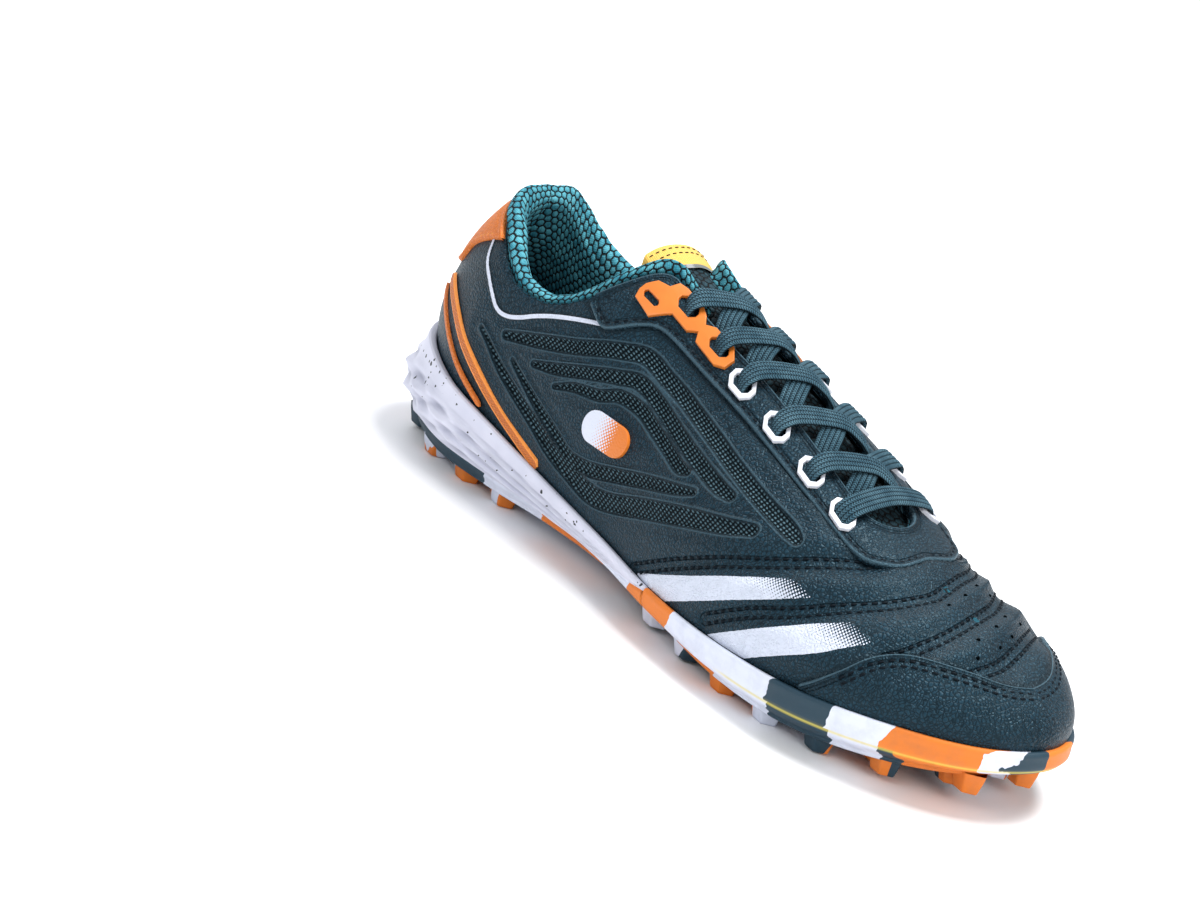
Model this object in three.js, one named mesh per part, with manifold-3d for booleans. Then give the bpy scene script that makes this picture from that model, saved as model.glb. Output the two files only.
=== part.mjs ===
// Right turf football shoe. Millimetres, +X to the toe, +Y to the inner side of the foot, +Z up, ground at z = 0.
import * as THREE from "three";
import Module from "manifold-3d";

const wasm = await Module();
wasm.setup();
const { Manifold, CrossSection } = wasm;

// Named sizes
const LAST_LENGTH = 281; // upper, heel to toe at the sole line
const BALL_HALF = 48; // half the width across the ball
const INSTEP_HEIGHT = 90; // ground to the top of the throat
const LAST_BACK = 5; // heel of the upper in front of x = 0
const WALL = 1.8; // leather and backing of the upper
const GAP = 0.3;
const OVERLAY = 1.1; // thickness of a raised overlay
const LUG_HEIGHT = 4.6;
const THROAT_END = 0.73; // toe end of the throat, share of LAST_LENGTH
const THROAT_HALF = 9.5; // half the width of the throat at its top
const THROAT_HALF_LOW = 10; // and near its toe end
const INSOLE_THICKNESS = 3.4;
const LACE_WIDTH = 7.6;
const LACE_THICKNESS = 1.5;
const LUG_SIZE = 10.8; // length of a lug; its width and the spacing follow it

// Sections of the last from the heel back (first row) round to the toe tip (last row).
// foot: point on the sole line, x and z and half widths. ridge: point on the centreline on top.
// lean: outward lean of the wall at the sole line, degrees. rise, reach: handles of the section curve.
// Lengths along x are shares of LAST_LENGTH, half widths and reach of BALL_HALF, heights of INSTEP_HEIGHT.
const LAST_COLUMNS = [
  "footX", "footLat", "footMed", "footZ", "ridgeX", "ridgeZ", "lean", "rise", "reachLat", "reachMed",
];
const LAST_ROWS = [
  [0.000, 0.00, 0.00, 0.405, 0.110, 1.12, 13, 0.45, 0.20, 0.20],
  [0.030, 0.41, 0.42, 0.390, 0.130, 1.12, 12, 0.45, 0.40, 0.40],
  [0.115, 0.65, 0.62, 0.340, 0.165, 1.12, 10, 0.45, 0.60, 0.58],
  [0.215, 0.68, 0.61, 0.284, 0.220, 1.12, 8, 0.45, 0.62, 0.60],
  [0.325, 0.71, 0.58, 0.236, 0.300, 1.10, 6, 0.45, 0.58, 0.56],
  [0.440, 0.78, 0.67, 0.202, 0.400, 1.01, 5, 0.45, 0.45, 0.45],
  [0.560, 0.92, 0.85, 0.185, 0.515, 0.92, 5, 0.45, 0.45, 0.45],
  [0.680, 0.99, 0.97, 0.192, 0.640, 0.785, 6, 0.45, 0.50, 0.50],
  [0.795, 0.95, 0.95, 0.214, 0.750, 0.645, 8, 0.45, 0.60, 0.60],
  [0.895, 0.73, 0.80, 0.243, 0.830, 0.575, 10, 0.45, 0.62, 0.62],
  [0.970, 0.38, 0.48, 0.264, 0.880, 0.540, 12, 0.45, 0.40, 0.40],
  [1.000, 0.00, 0.06, 0.275, 0.905, 0.510, 12, 0.45, 0.25, 0.25],
];
// Sole at the same sections. under: height of its flat underside, bed: foot bed, shares of INSTEP_HEIGHT.
// tuck: underside inside the sole line, flare: side wall outside it, lip: rim outside it, shares of BALL_HALF.
const SOLE_COLUMNS = ["under", "bed", "tuck", "flare", "lip"];
const SOLE_ROWS = [
  [0.095, 0.225, 0.02, 0.165, 0.060],
  [0.066, 0.222, 0.02, 0.140, 0.060],
  [0.051, 0.215, 0.03, 0.085, 0.055],
  [0.051, 0.198, 0.05, 0.055, 0.050],
  [0.072, 0.172, 0.07, 0.040, 0.050],
  [0.085, 0.146, 0.08, 0.035, 0.050],
  [0.072, 0.128, 0.08, 0.040, 0.050],
  [0.051, 0.122, 0.06, 0.050, 0.055],
  [0.054, 0.130, 0.06, 0.055, 0.060],
  [0.082, 0.152, 0.08, 0.060, 0.065],
  [0.120, 0.185, 0.10, 0.070, 0.070],
  [0.145, 0.208, 0.12, 0.070, 0.075],
];
// Height of the collar edge on the two sides, share of INSTEP_HEIGHT, over x, share of LAST_LENGTH.
const COLLAR_LATERAL = [
  [-0.02, 1.02], [0.045, 1.015], [0.062, 1], [0.078, 0.955], [0.11, 0.9], [0.142, 0.833], [0.167, 0.794],
  [0.192, 0.784], [0.221, 0.793], [0.246, 0.824], [0.274, 0.889], [0.295, 0.961], [0.317, 1.033], [0.338, 1.1],
  [0.381, 1.244],
];
const COLLAR_MEDIAL = [
  [-0.02, 1.02], [0.045, 1.015], [0.062, 1], [0.069, 0.95], [0.075, 0.89], [0.083, 0.835], [0.098, 0.796],
  [0.122, 0.776], [0.15, 0.768], [0.18, 0.77], [0.215, 0.791], [0.246, 0.829], [0.274, 0.889], [0.295, 0.961], [0.317, 1.033], [0.338, 1.1],
  [0.381, 1.244],
];
// Border between the midsole and the outsole in the same shares.
const SPLIT = [
  [-0.125, 0.122], [-0.018, 0.116], [0.053, 0.107], [0.196, 0.102], [0.338, 0.116], [0.445, 0.133],
  [0.509, 0.151], [0.544, 0.171], [0.569, 0.217], [0.584, 0.333], [0.587, 0.667],
];

const LAST_ROW = LAST_ROWS.length - 1;
const column = (rows, names, name) => rows.map((row) => row[names.indexOf(name)]);
const clamp = (v, a, b) => Math.min(b, Math.max(a, v));
const mix = (a, b, f) => a + (b - a) * f;

// Catmull-Rom through one column; odd ends run straight through, even ends are level.
function spline(values, q, startOdd, endOdd) {
  const n = values.length - 1;
  const i = Math.min(Math.floor(clamp(q, 0, n)), n - 1);
  const f = clamp(q, 0, n) - i;
  const before = startOdd ? 2 * values[0] - values[1] : values[1];
  const after = endOdd ? 2 * values[n] - values[n - 1] : values[n - 1];
  const at = (k) => (k < 0 ? before : k > n ? after : values[k]);
  const [a, b, c, d] = [at(i - 1), at(i), at(i + 1), at(i + 2)];
  return 0.5 * (2 * b + (c - a) * f + (2 * a - 5 * b + 4 * c - d) * f * f + (3 * b - a - 3 * c + d) * f ** 3);
}

// Straight pieces through a table of two columns.
function along(table, x) {
  let i = 1;
  while (i < table.length - 1 && table[i][0] < x) i++;
  const [a, b] = [table[i - 1], table[i]];
  return mix(a[1], b[1], clamp((x - a[0]) / (b[0] - a[0]), 0, 1));
}

const LAST = Object.fromEntries(LAST_COLUMNS.map((name) => [name, column(LAST_ROWS, LAST_COLUMNS, name)]));
const SOLE = Object.fromEntries(SOLE_COLUMNS.map((name) => [name, column(SOLE_ROWS, SOLE_COLUMNS, name)]));
const WIDTH = {
  "-1": LAST.footLat.map((v, i) => (i === LAST_ROW ? LAST.footMed[i] : -v)),
  1: LAST.footMed.slice(),
};
const TIP_Y = LAST.footMed[LAST_ROW] * BALL_HALF;

// Sole line at station q, with its outward direction.
function foot(q, side) {
  const place = (s) => [
    spline(LAST.footX, s) * LAST_LENGTH + LAST_BACK,
    spline(WIDTH[side], s, true, true) * BALL_HALF,
  ];
  const [x, y] = place(q);
  let [dx, dy] = [0, side * (q < 1 ? 1 : -1)];
  if (q > 1e-6 && q < LAST_ROW - 1e-6) {
    const [a, b] = [place(Math.max(0, q - 1e-3)), place(Math.min(LAST_ROW, q + 1e-3))];
    [dx, dy] = [b[0] - a[0], b[1] - a[1]];
  }
  const size = Math.hypot(dx, dy);
  const [nx, ny] = side < 0 ? [dy / size, -dx / size] : [-dy / size, dx / size];
  return { x, y, z: spline(LAST.footZ, q) * INSTEP_HEIGHT, nx, ny };
}

function ridge(q) {
  return {
    x: spline(LAST.ridgeX, q, true, true) * LAST_LENGTH + LAST_BACK,
    y: TIP_Y * clamp((q - 6) / (LAST_ROW - 6), 0, 1) ** 2,
    z: spline(LAST.ridgeZ, q, true, true) * INSTEP_HEIGHT,
  };
}

// Point of the last. w runs from -1 (outer sole line) over 0 (centreline on top) to 1 (inner sole line).
// Beyond 1 the wall goes on down into the sole, to the foot bed at 2.
function at(q, w) {
  if (q < 0) return at(-q, -w);
  if (q > LAST_ROW) return at(2 * LAST_ROW - q, -w);
  const side = w < 0 ? -1 : 1;
  const t = 1 - Math.abs(w);
  const b = foot(q, side);
  const lean = (spline(LAST.lean, q) * Math.PI) / 180;
  if (t < 0) {
    const depth = -t * (b.z - spline(SOLE.bed, q) * INSTEP_HEIGHT - 1);
    const inwards = depth * Math.tan(lean + 0.1);
    return new THREE.Vector3(b.x - b.nx * inwards, b.y - b.ny * inwards, b.z - depth);
  }
  const top = ridge(q);
  const [r0, r1] = [ridge(Math.max(0, q - 1e-3)), ridge(Math.min(LAST_ROW, q + 1e-3))];
  const slope = (r1.z - r0.z) / (r1.x - r0.x);
  const rise = spline(LAST.rise, q) * (top.z - b.z);
  const reach = spline(side < 0 ? LAST.reachLat : LAST.reachMed, q) * BALL_HALF;
  const p0 = new THREE.Vector3(b.x, b.y, b.z);
  const p1 = new THREE.Vector3(b.nx * Math.sin(lean), b.ny * Math.sin(lean), Math.cos(lean));
  p1.multiplyScalar(rise).add(p0);
  const p3 = new THREE.Vector3(top.x, top.y, top.z);
  const p2 = new THREE.Vector3(b.nx, b.ny, b.nx * slope).multiplyScalar(reach).add(p3);
  const u = 1 - t;
  return p0.multiplyScalar(u ** 3).addScaledVector(p1, 3 * u * u * t)
    .addScaledVector(p2, 3 * u * t * t).addScaledVector(p3, t ** 3);
}

function normal(q, w) {
  const dq = at(q + 0.02, w).sub(at(q - 0.02, w));
  const dw = at(q, w + 0.01).sub(at(q, w - 0.01));
  return dq.cross(dw).normalize();
}

const lifted = (q, w, lift) => at(q, w).addScaledVector(normal(q, w), lift);

// Above zero where the collar or the throat is open.
function open(q, w) {
  const p = at(q, w);
  const share = (p.x - LAST_BACK) / LAST_LENGTH;
  const collar = p.z - along(w < 0 ? COLLAR_LATERAL : COLLAR_MEDIAL, share) * INSTEP_HEIGHT;
  const half = mix(THROAT_HALF, THROAT_HALF_LOW, clamp((share - 0.34) / 0.32, 0, 1));
  const beyond = p.x - (LAST_BACK + THROAT_END * LAST_LENGTH - half);
  const across = beyond > 0 ? Math.hypot(p.y, beyond) : Math.abs(p.y);
  const throat = share > 0.2 && p.z > 0.55 * INSTEP_HEIGHT ? half - across : -20;
  const blend = clamp(0.5 + (collar - throat) / 16, 0, 1);
  return mix(throat, collar, blend) + 8 * blend * (1 - blend);
}

// Station on the centreline where the throat ends.
const THROAT_Q = (() => {
  let [a, b] = [6, 9];
  for (let k = 0; k < 40; k++) {
    if (open((a + b) / 2, 0) > 0) a = (a + b) / 2;
    else b = (a + b) / 2;
  }
  return (a + b) / 2;
})();

// Share 1 - t of the upper's edge at station q; zero where the vamp is closed.
const edgeCache = new Map();
function edge(q, side) {
  if (q >= THROAT_Q) return 0;
  const key = q.toFixed(5) + side;
  if (edgeCache.has(key)) return edgeCache.get(key);
  let a = 0.9;
  while (a > 0 && open(q, side * a) < 0) a -= 0.02;
  let [lo, hi] = [Math.max(0, a), a + 0.02];
  for (let k = 0; k < 30; k++) {
    if (open(q, (side * (lo + hi)) / 2) > 0) lo = (lo + hi) / 2;
    else hi = (lo + hi) / 2;
  }
  edgeCache.set(key, (lo + hi) / 2);
  return (lo + hi) / 2;
}

// Closed geometry from a list of triangles of points.
function geometryOf(triangles) {
  const data = new Float32Array(triangles.length * 9);
  triangles.forEach((tri, i) => tri.forEach((p, k) => data.set([p.x, p.y, p.z], i * 9 + k * 3)));
  return new THREE.BufferGeometry().setAttribute("position", new THREE.BufferAttribute(data, 3));
}

// A sheet with two faces and a rim. quads: lists of 3 or 4 knots, turned so that the normal points out.
// outer and inner give the two points of a knot; knots at one place on the sheet are one corner.
function sheet(quads, outer, inner) {
  const knots = new Map();
  const idOf = (knot) => {
    const p = at(knot[0], knot[1]);
    const key = [p.x, p.y, p.z].map((v) => Math.round(v * 500)).join();
    if (!knots.has(key)) knots.set(key, { id: knots.size, out: outer(...knot), in: inner(...knot) });
    return knots.get(key);
  };
  const faces = [];
  for (const quad of quads) {
    const c = quad.map(idOf);
    for (let k = 1; k < c.length - 1; k++) {
      const tri = [c[0], c[k], c[k + 1]];
      if (new Set(tri.map((v) => v.id)).size === 3) faces.push(tri);
    }
  }
  const edges = new Map();
  const triangles = [];
  for (const tri of faces) {
    triangles.push(tri.map((v) => v.out), [tri[2].in, tri[1].in, tri[0].in]);
    tri.forEach((a, k) => edges.set(a.id + ">" + tri[(k + 1) % 3].id, [a, tri[(k + 1) % 3]]));
  }
  for (const [a, b] of edges.values()) {
    if (edges.has(b.id + ">" + a.id)) continue;
    triangles.push([a.out, a.in, b.in], [a.out, b.in, b.out]);
  }
  return geometryOf(triangles);
}

// Knots of a band between two lines on the sheet; low and high give w for a station, rows the shares between.
function band(stations, rows, low, high) {
  const quads = [];
  for (let i = 0; i < stations.length - 1; i++)
    for (let k = 0; k < rows.length - 1; k++) {
      const knot = (s, r) => [stations[s], mix(low(stations[s]), high(stations[s]), rows[r])];
      quads.push([knot(i, k), knot(i + 1, k), knot(i + 1, k + 1), knot(i, k + 1)]);
    }
  return quads;
}

const mirrored = (rows) => rows.map((r) => 1 - r).reverse();
const steps = (n) => Array.from({ length: n + 1 }, (_, i) => i / n);
const between = (a, b, n) => steps(n).map((f) => mix(a, b, f));

// Colour and roughness by the start of a name; the first that fits counts
const LOOKS = [
  ["outsole", 0x33525f, 0.7], ["midsole", 0xe4e5f0, 0.75], ["upper", 0x26404b, 0.5], ["toe_cap", 0x26404b, 0.5],
  ["eyestay", 0x26404b, 0.5], ["heel", 0xf09a3c, 0.5], ["collar", 0x2a8095, 0.9], ["tongue_label", 0xf2d873, 0.7],
  ["tongue", 0x2b454f, 0.9], ["insole", 0x303a40, 0.95], ["eyelet_panel", 0xf59b3d, 0.45],
  ["eyelet_loop", 0xe2e4ec, 0.4], ["side_patch", 0xf09a3c, 0.45], ["lace", 0x4a6c7a, 0.85],
];
const group = new THREE.Group();
function add(name, geometry) {
  const [, color, roughness] = LOOKS.find(([start]) => name.startsWith(start));
  const material = new THREE.MeshStandardMaterial({ color, roughness, metalness: 0, flatShading: true });
  const mesh = new THREE.Mesh(geometry, material);
  mesh.name = name;
  group.add(mesh);
}

// Stations round the shoe, close together at the toe end of the throat
const STATIONS = [
  ...between(0, 1.5, 5), 1.78, 2.1, 2.4, 2.7, 3, 3.3, 3.55, 3.75, 3.95, 4.15, 4.35, 4.6, 4.95, 5.35, 5.8, 6.25,
  6.7, 7.1, 7.4, ...[0.2, 0.08, 0].map((d) => THROAT_Q - d), 7.98, 8.06, 8.2, 8.31, 8.5, 8.75, 9.05, 9.4, 9.75,
  10.1, 10.45, 10.75, 11,
].sort((a, b) => a - b);
const within = (a, b) => STATIONS.filter((q) => q > a - 1e-6 && q < b + 1e-6);

// Upper
const UPPER_ROWS = [0, 0.15, 0.31, 0.47, 0.62, 0.76, 0.89, 1];
const upperQuads = [
  ...band(STATIONS, [0, 1], () => -2, () => -1),
  ...band(STATIONS, UPPER_ROWS, () => -1, (q) => -edge(q, -1)),
  ...band(STATIONS, mirrored(UPPER_ROWS), (q) => edge(q, 1), () => 1),
  ...band(STATIONS, [0, 1], () => 1, () => 2),
];
add("upper", sheet(upperQuads, (q, w) => at(q, w), (q, w) => lifted(q, w, -WALL)));

// Raised overlays of the upper: share 1 - t of the lower edge of each over the station
const TOE_CAP = [
  [8.06, 0.955], [8.2, 0.89], [8.4, 0.77], [8.6, 0.63], [8.83, 0.53], [9.1, 0.47], [9.6, 0.44], [10.5, 0.42], [11, 0.41],
];
const EYESTAY = [
  [3.7, 0.45], [3.9, 0.48], [4.05, 0.49], [4.2, 0.465], [4.45, 0.4], [4.65, 0.355], [4.9, 0.34], [5.5, 0.34],
  [6.2, 0.33], [7, 0.32], [7.6, 0.3], [7.9, 0.27], [8.1, 0.2], [8.22, 0.14], [8.28, 0.07], [8.31, 0],
];
const HEEL_TAB_LATERAL = [[0, 0.73], [0.95, 0.71], [1.2, 0.6], [1.55, 0.52], [1.8, 0.48]];
const HEEL_TAB_MEDIAL = [[0, 0.73], [0.95, 0.71], [1.2, 0.66], [1.5, 0.63], [1.8, 0.61]];
const low = GAP + 0.15;
const high = low + OVERLAY;
const raised = (q, w) => lifted(q, w, high);
const lain = (q, w) => lifted(q, w, low);

const capStations = within(8.06, 11);
const capRows = [0, 0.25, 0.5, 0.75, 1];
add("toe_cap", sheet([
  ...band(capStations, capRows, () => -0.955, (q) => -along(TOE_CAP, q)),
  ...band(capStations, mirrored(capRows), (q) => along(TOE_CAP, q), () => 0.955),
], raised, lain));

const stayStations = within(3.75, 8.31);
const stayEdge = (q, side) => Math.max(edge(q, side), 0) + (q < THROAT_Q ? 0.008 : 0);
const stayRows = [0, 0.33, 0.67, 1];
const stayLow = (q, side) => Math.max(along(EYESTAY, q), stayEdge(q, side));
add("eyestay", sheet([
  ...band(stayStations, stayRows, (q) => -stayLow(q, -1), (q) => -(q < THROAT_Q ? stayEdge(q, -1) : 0)),
  ...band(stayStations, stayRows, (q) => (q < THROAT_Q ? stayEdge(q, 1) : 0), (q) => stayLow(q, 1)),
], raised, lain));

const tabStations = within(0, 1.78);
const tabRows = [0, 0.33, 0.67, 1];
const tabTop = (q, side) => edge(q, side) + 0.015;
add("heel_tab", sheet([
  ...band(tabStations, tabRows, (q) => -Math.max(along(HEEL_TAB_LATERAL, q), tabTop(q, -1)), (q) => -tabTop(q, -1)),
  ...band(tabStations, tabRows, (q) => tabTop(q, 1), (q) => Math.max(along(HEEL_TAB_MEDIAL, q), tabTop(q, 1))),
], raised, lain));

// Strips on the sheet along a line of knots given for the outer side
function strip(line, side, width, from, to, count) {
  const curve = new THREE.CatmullRomCurve3(line.map(([q, w]) => new THREE.Vector3(q, w, 0)));
  const loops = steps(count).map((f) => {
    const c = curve.getPoint(f);
    const ahead = curve.getPoint(Math.min(1, f + 0.01));
    const behind = curve.getPoint(Math.max(0, f - 0.01));
    const run = at(ahead.x, side * ahead.y).sub(at(behind.x, side * behind.y));
    const up = normal(c.x, side * c.y);
    const across = run.cross(up).normalize();
    const mid = at(c.x, side * c.y);
    const corner = (a, b) => mid.clone().addScaledVector(across, a * width * 0.5).addScaledVector(up, b);
    return [corner(-1, from), corner(1, from), corner(1, to), corner(0, to + 0.15), corner(-1, to)];
  });
  return sweep(loops);
}

// Solid through closed loops of points, each loop a flat star-shaped outline
function sweep(loops) {
  const triangles = [];
  const n = loops[0].length;
  for (let i = 0; i < loops.length - 1; i++)
    for (let k = 0; k < n; k++) {
      const m = (k + 1) % n;
      const [a, b, c, d] = [loops[i][k], loops[i][m], loops[i + 1][m], loops[i + 1][k]];
      triangles.push([a, b, c], [a, c, d]);
    }
  const cap = (loop, flip) => {
    const mid = loop.reduce((s, p) => s.add(p), new THREE.Vector3()).multiplyScalar(1 / n);
    loop.forEach((p, k) => triangles.push(flip ? [mid, loop[(k + 1) % n], p] : [mid, p, loop[(k + 1) % n]]));
  };
  cap(loops[0], true);
  cap(loops[loops.length - 1], false);
  const geometry = geometryOf(triangles);
  return outwards(geometry);
}

// Turns a closed geometry right way out
function outwards(geometry) {
  const p = geometry.attributes.position;
  let volume = 0;
  const [a, b, c] = [new THREE.Vector3(), new THREE.Vector3(), new THREE.Vector3()];
  for (let i = 0; i < p.count; i += 3) {
    a.fromBufferAttribute(p, i);
    b.fromBufferAttribute(p, i + 1);
    c.fromBufferAttribute(p, i + 2);
    volume += a.dot(b.clone().cross(c));
  }
  if (volume < 0)
    for (let i = 0; i < p.count; i += 3) {
      b.fromBufferAttribute(p, i + 1);
      c.fromBufferAttribute(p, i + 2);
      p.setXYZ(i + 1, c.x, c.y, c.z);
      p.setXYZ(i + 2, b.x, b.y, b.z);
    }
  return geometry;
}

const STRIPE_WIDE = [
  [1.12, 0.745], [1.45, 0.77], [1.75, 0.8], [2.2, 0.86], [2.8, 0.925], [3.35, 0.95], [3.7, 0.955],
];
const STRIPE_THIN = [[1.0, 0.8], [1.45, 0.85], [1.85, 0.905], [2.2, 0.945]];
for (const [name, side] of [["lateral", -1], ["medial", 1]]) {
  add("heel_stripe_" + name + "_wide", strip(STRIPE_WIDE, side, 3.2, low, 1.1, 9));
  add("heel_stripe_" + name + "_thin", strip(STRIPE_THIN, side, 1.6, low, 1.1, 6));
}

// Whole sole as one form, cut later into midsole and outsole
const zShare = (name, q) => spline(SOLE[name], q) * INSTEP_HEIGHT;
const yShare = (name, q) => spline(SOLE[name], q) * BALL_HALF;
function spine(q, z) {
  const [a, b] = [foot(q, -1), foot(q, 1)];
  const x = LAST_BACK + LAST_LENGTH * mix(0.055, 0.945, spline(LAST.footX, q));
  return new THREE.Vector3(x, (a.y + b.y) / 2, z);
}
function outside(q, side, d, z) {
  const b = foot(q, side);
  return new THREE.Vector3(b.x + b.nx * d, b.y + b.ny * d, z);
}
// Facets of the heel: the side wall steps in and out from one station to the next.
function facet(q, side, level) {
  const fade = clamp((3.9 - q) / 0.8, 0, 1);
  const step = Math.round(q * 4) + level;
  return step % 2 ? 0.9 * fade : -0.5 * fade;
}
const soleRings = [
  (q) => spine(q, zShare("under", q)),
  (q, side) => outside(q, side, -yShare("tuck", q) - 1.5, zShare("under", q)),
  (q, side) => outside(q, side, -yShare("tuck", q), zShare("under", q) + 1.4),
  (q, side) => outside(q, side, mix(-yShare("tuck", q), yShare("flare", q), 0.75) + facet(q, side, 0) * 0.3,
    mix(zShare("under", q), foot(q, side).z, 0.32)),
  (q, side) => outside(q, side, yShare("flare", q) + facet(q, side, 1),
    mix(zShare("under", q), foot(q, side).z, 0.52)),
  (q, side) => outside(q, side, mix(yShare("flare", q), yShare("lip", q), 0.7) + facet(q, side, 0) * 0.8,
    mix(zShare("under", q), foot(q, side).z, 0.78)),
  (q, side) => outside(q, side, yShare("lip", q), foot(q, side).z - 0.8),
  (q, side) => outside(q, side, yShare("lip", q) - 0.8, foot(q, side).z),
  (q, side) => lifted(q, side, GAP + 0.05),
  (q, side) => {
    const p = lifted(q, side * 2, GAP + 0.05);
    return new THREE.Vector3(p.x, p.y, zShare("bed", q));
  },
  (q) => spine(q, zShare("bed", q)),
];
function ringSolid(rings, stations) {
  const triangles = [];
  const quad = (a, b, c, d) => {
    const pts = [a, b, c, d].filter((p, i, all) => p.distanceTo(all[(i + 1) % 4]) > 1e-6);
    if (pts.length < 3) return;
    for (let k = 1; k < pts.length - 1; k++) triangles.push([pts[0], pts[k], pts[k + 1]]);
  };
  for (const side of [-1, 1])
    for (let i = 0; i < stations.length - 1; i++)
      for (let k = 0; k < rings.length - 1; k++) {
        const [q, r] = [stations[i], stations[i + 1]];
        const c = [rings[k](q, side), rings[k](r, side), rings[k + 1](r, side), rings[k + 1](q, side)];
        if (side < 0) quad(...c);
        else quad(c[3], c[2], c[1], c[0]);
      }
  return outwards(geometryOf(triangles));
}
function solid(geometry) {
  const p = geometry.attributes.position;
  const mesh = new wasm.Mesh({
    numProp: 3, vertProperties: Float32Array.from(p.array), triVerts: Uint32Array.from({ length: p.count }, (_, i) => i),
  });
  mesh.merge();
  return new Manifold(mesh);
}
function meshOf(manifold) {
  const m = manifold.getMesh();
  const data = new Float32Array(m.triVerts.length * 3);
  m.triVerts.forEach((v, i) => data.set(m.vertProperties.subarray(v * m.numProp, v * m.numProp + 3), i * 3));
  return new THREE.BufferGeometry().setAttribute("position", new THREE.BufferAttribute(data, 3));
}
const UPPER_ONLY = [THROAT_Q - 0.08, 7.98, 8.31];
const soleStations = STATIONS.filter((q) => UPPER_ONLY.every((v) => Math.abs(q - v) > 0.01));
const soleForm = solid(ringSolid(soleRings, soleStations));

// Prism over or under the border line, wide enough for the shoe
function prism(line, far) {
  const outline = [...line, [line[line.length - 1][0], far], [line[0][0], far]];
  let area = 0;
  outline.forEach(([x, y], i) => {
    const [u, v] = outline[(i + 1) % outline.length];
    area += x * v - u * y;
  });
  const ring = area > 0 ? outline : outline.slice().reverse();
  return new CrossSection([ring]).extrude(BALL_HALF * 4, 0, 0, [1, 1], true).rotate([90, 0, 0]);
}
const splitLine = SPLIT.map(([x, z]) => [LAST_BACK + x * LAST_LENGTH, z * INSTEP_HEIGHT]);
const midsole = soleForm.intersect(prism(splitLine, INSTEP_HEIGHT));
const steep = splitLine.length - 5;
const outsoleLine = [
  ...splitLine.map(([x, z], i) => [x + (i > steep ? GAP + 0.05 : 0), z - (i > steep + 2 ? 0 : GAP + 0.05)]),
  [LAST_LENGTH * 1.3, INSTEP_HEIGHT],
];
const outsoleBody = soleForm.intersect(prism(outsoleLine, -INSTEP_HEIGHT));

// Blunt lugs in staggered rows, each a five-sided frustum that points to the toe
const LUG_PITCH = LUG_SIZE * 0.92;
const LUG_ACROSS = LUG_SIZE * 2.15;
function halfWidth(x, side) {
  let [a, b] = [0, LAST_ROW];
  for (let k = 0; k < 30; k++) {
    if (foot((a + b) / 2, side).x < x) a = (a + b) / 2;
    else b = (a + b) / 2;
  }
  return { q: a, y: Math.abs(foot(a, side).y) - yShare("tuck", a) };
}
function lug(x, y, long, wide, bottom, top) {
  const h = top - bottom;
  const shape = [[0.5, 0], [0.12, 0.5], [-0.5, 0.4], [-0.5, -0.4], [0.12, -0.5]];
  const outline = shape.map(([u, v]) => [u * long, v * wide]);
  return new CrossSection([outline]).extrude(h, 0, 0, [0.7, 0.72]).rotate([180, 0, 0]).translate([x, y, top]);
}
const lugs = [];
const LUG_ZONES = [[0.036, 0.267], [0.544, 0.964]]; // shares of LAST_LENGTH
LUG_ZONES.forEach((zone) => {
  const [from, to] = zone.map((v) => LAST_BACK + v * LAST_LENGTH);
  const count = Math.round((to - from) / LUG_PITCH);
  for (let i = 0; i <= count; i++) {
    const x0 = mix(from, to, i / count);
    const [lat, med] = [halfWidth(x0, -1), halfWidth(x0, 1)];
    const full = Math.max(2, Math.floor((lat.y + med.y - LUG_SIZE) / LUG_ACROSS + 0.4) + 1);
    const across = full - (i % 2);
    for (let k = 0; k < across; k++) {
      const f = (k + (i % 2) / 2) / (full - 1);
      const y = mix(LUG_SIZE * 0.55 - lat.y, med.y - LUG_SIZE * 0.55, f);
      const x = x0 - (Math.abs(f - 0.5) - 0.25) * LUG_SIZE * 0.4;
      const under = spline(SOLE.under, halfWidth(x, y < 0 ? -1 : 1).q) * INSTEP_HEIGHT;
      const bottom = Math.max(0, under - LUG_HEIGHT);
      lugs.push(lug(x, y, LUG_SIZE, LUG_SIZE * 0.94, bottom, under + LUG_HEIGHT * 0.5));
    }
  }
});
const outsole = Manifold.union([outsoleBody, ...lugs]);
add("outsole", meshOf(outsole.simplify(0.06)));
add("midsole", meshOf(midsole.simplify(0.08)));

// Insole on the foot bed
const insoleRings = [
  (q) => spine(q, zShare("bed", q) + GAP + 0.2),
  (q, side) => inner(q, side, GAP + 0.2, 3.6),
  (q, side) => inner(q, side, GAP + INSOLE_THICKNESS * 0.7, 3.1),
  (q, side) => inner(q, side, GAP + INSOLE_THICKNESS, 4.4),
  (q) => spine(q, zShare("bed", q) + GAP + INSOLE_THICKNESS),
];
function inner(q, side, rise, inset) {
  const p = lifted(q, side * 2, -inset);
  return new THREE.Vector3(p.x, p.y, zShare("bed", q) + rise);
}
const insoleStations = soleStations.filter((q, i, all) => i % 2 === 0 || q < 1.3 || q > 9.5);
add("insole", ringSolid(insoleRings, insoleStations));

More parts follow.
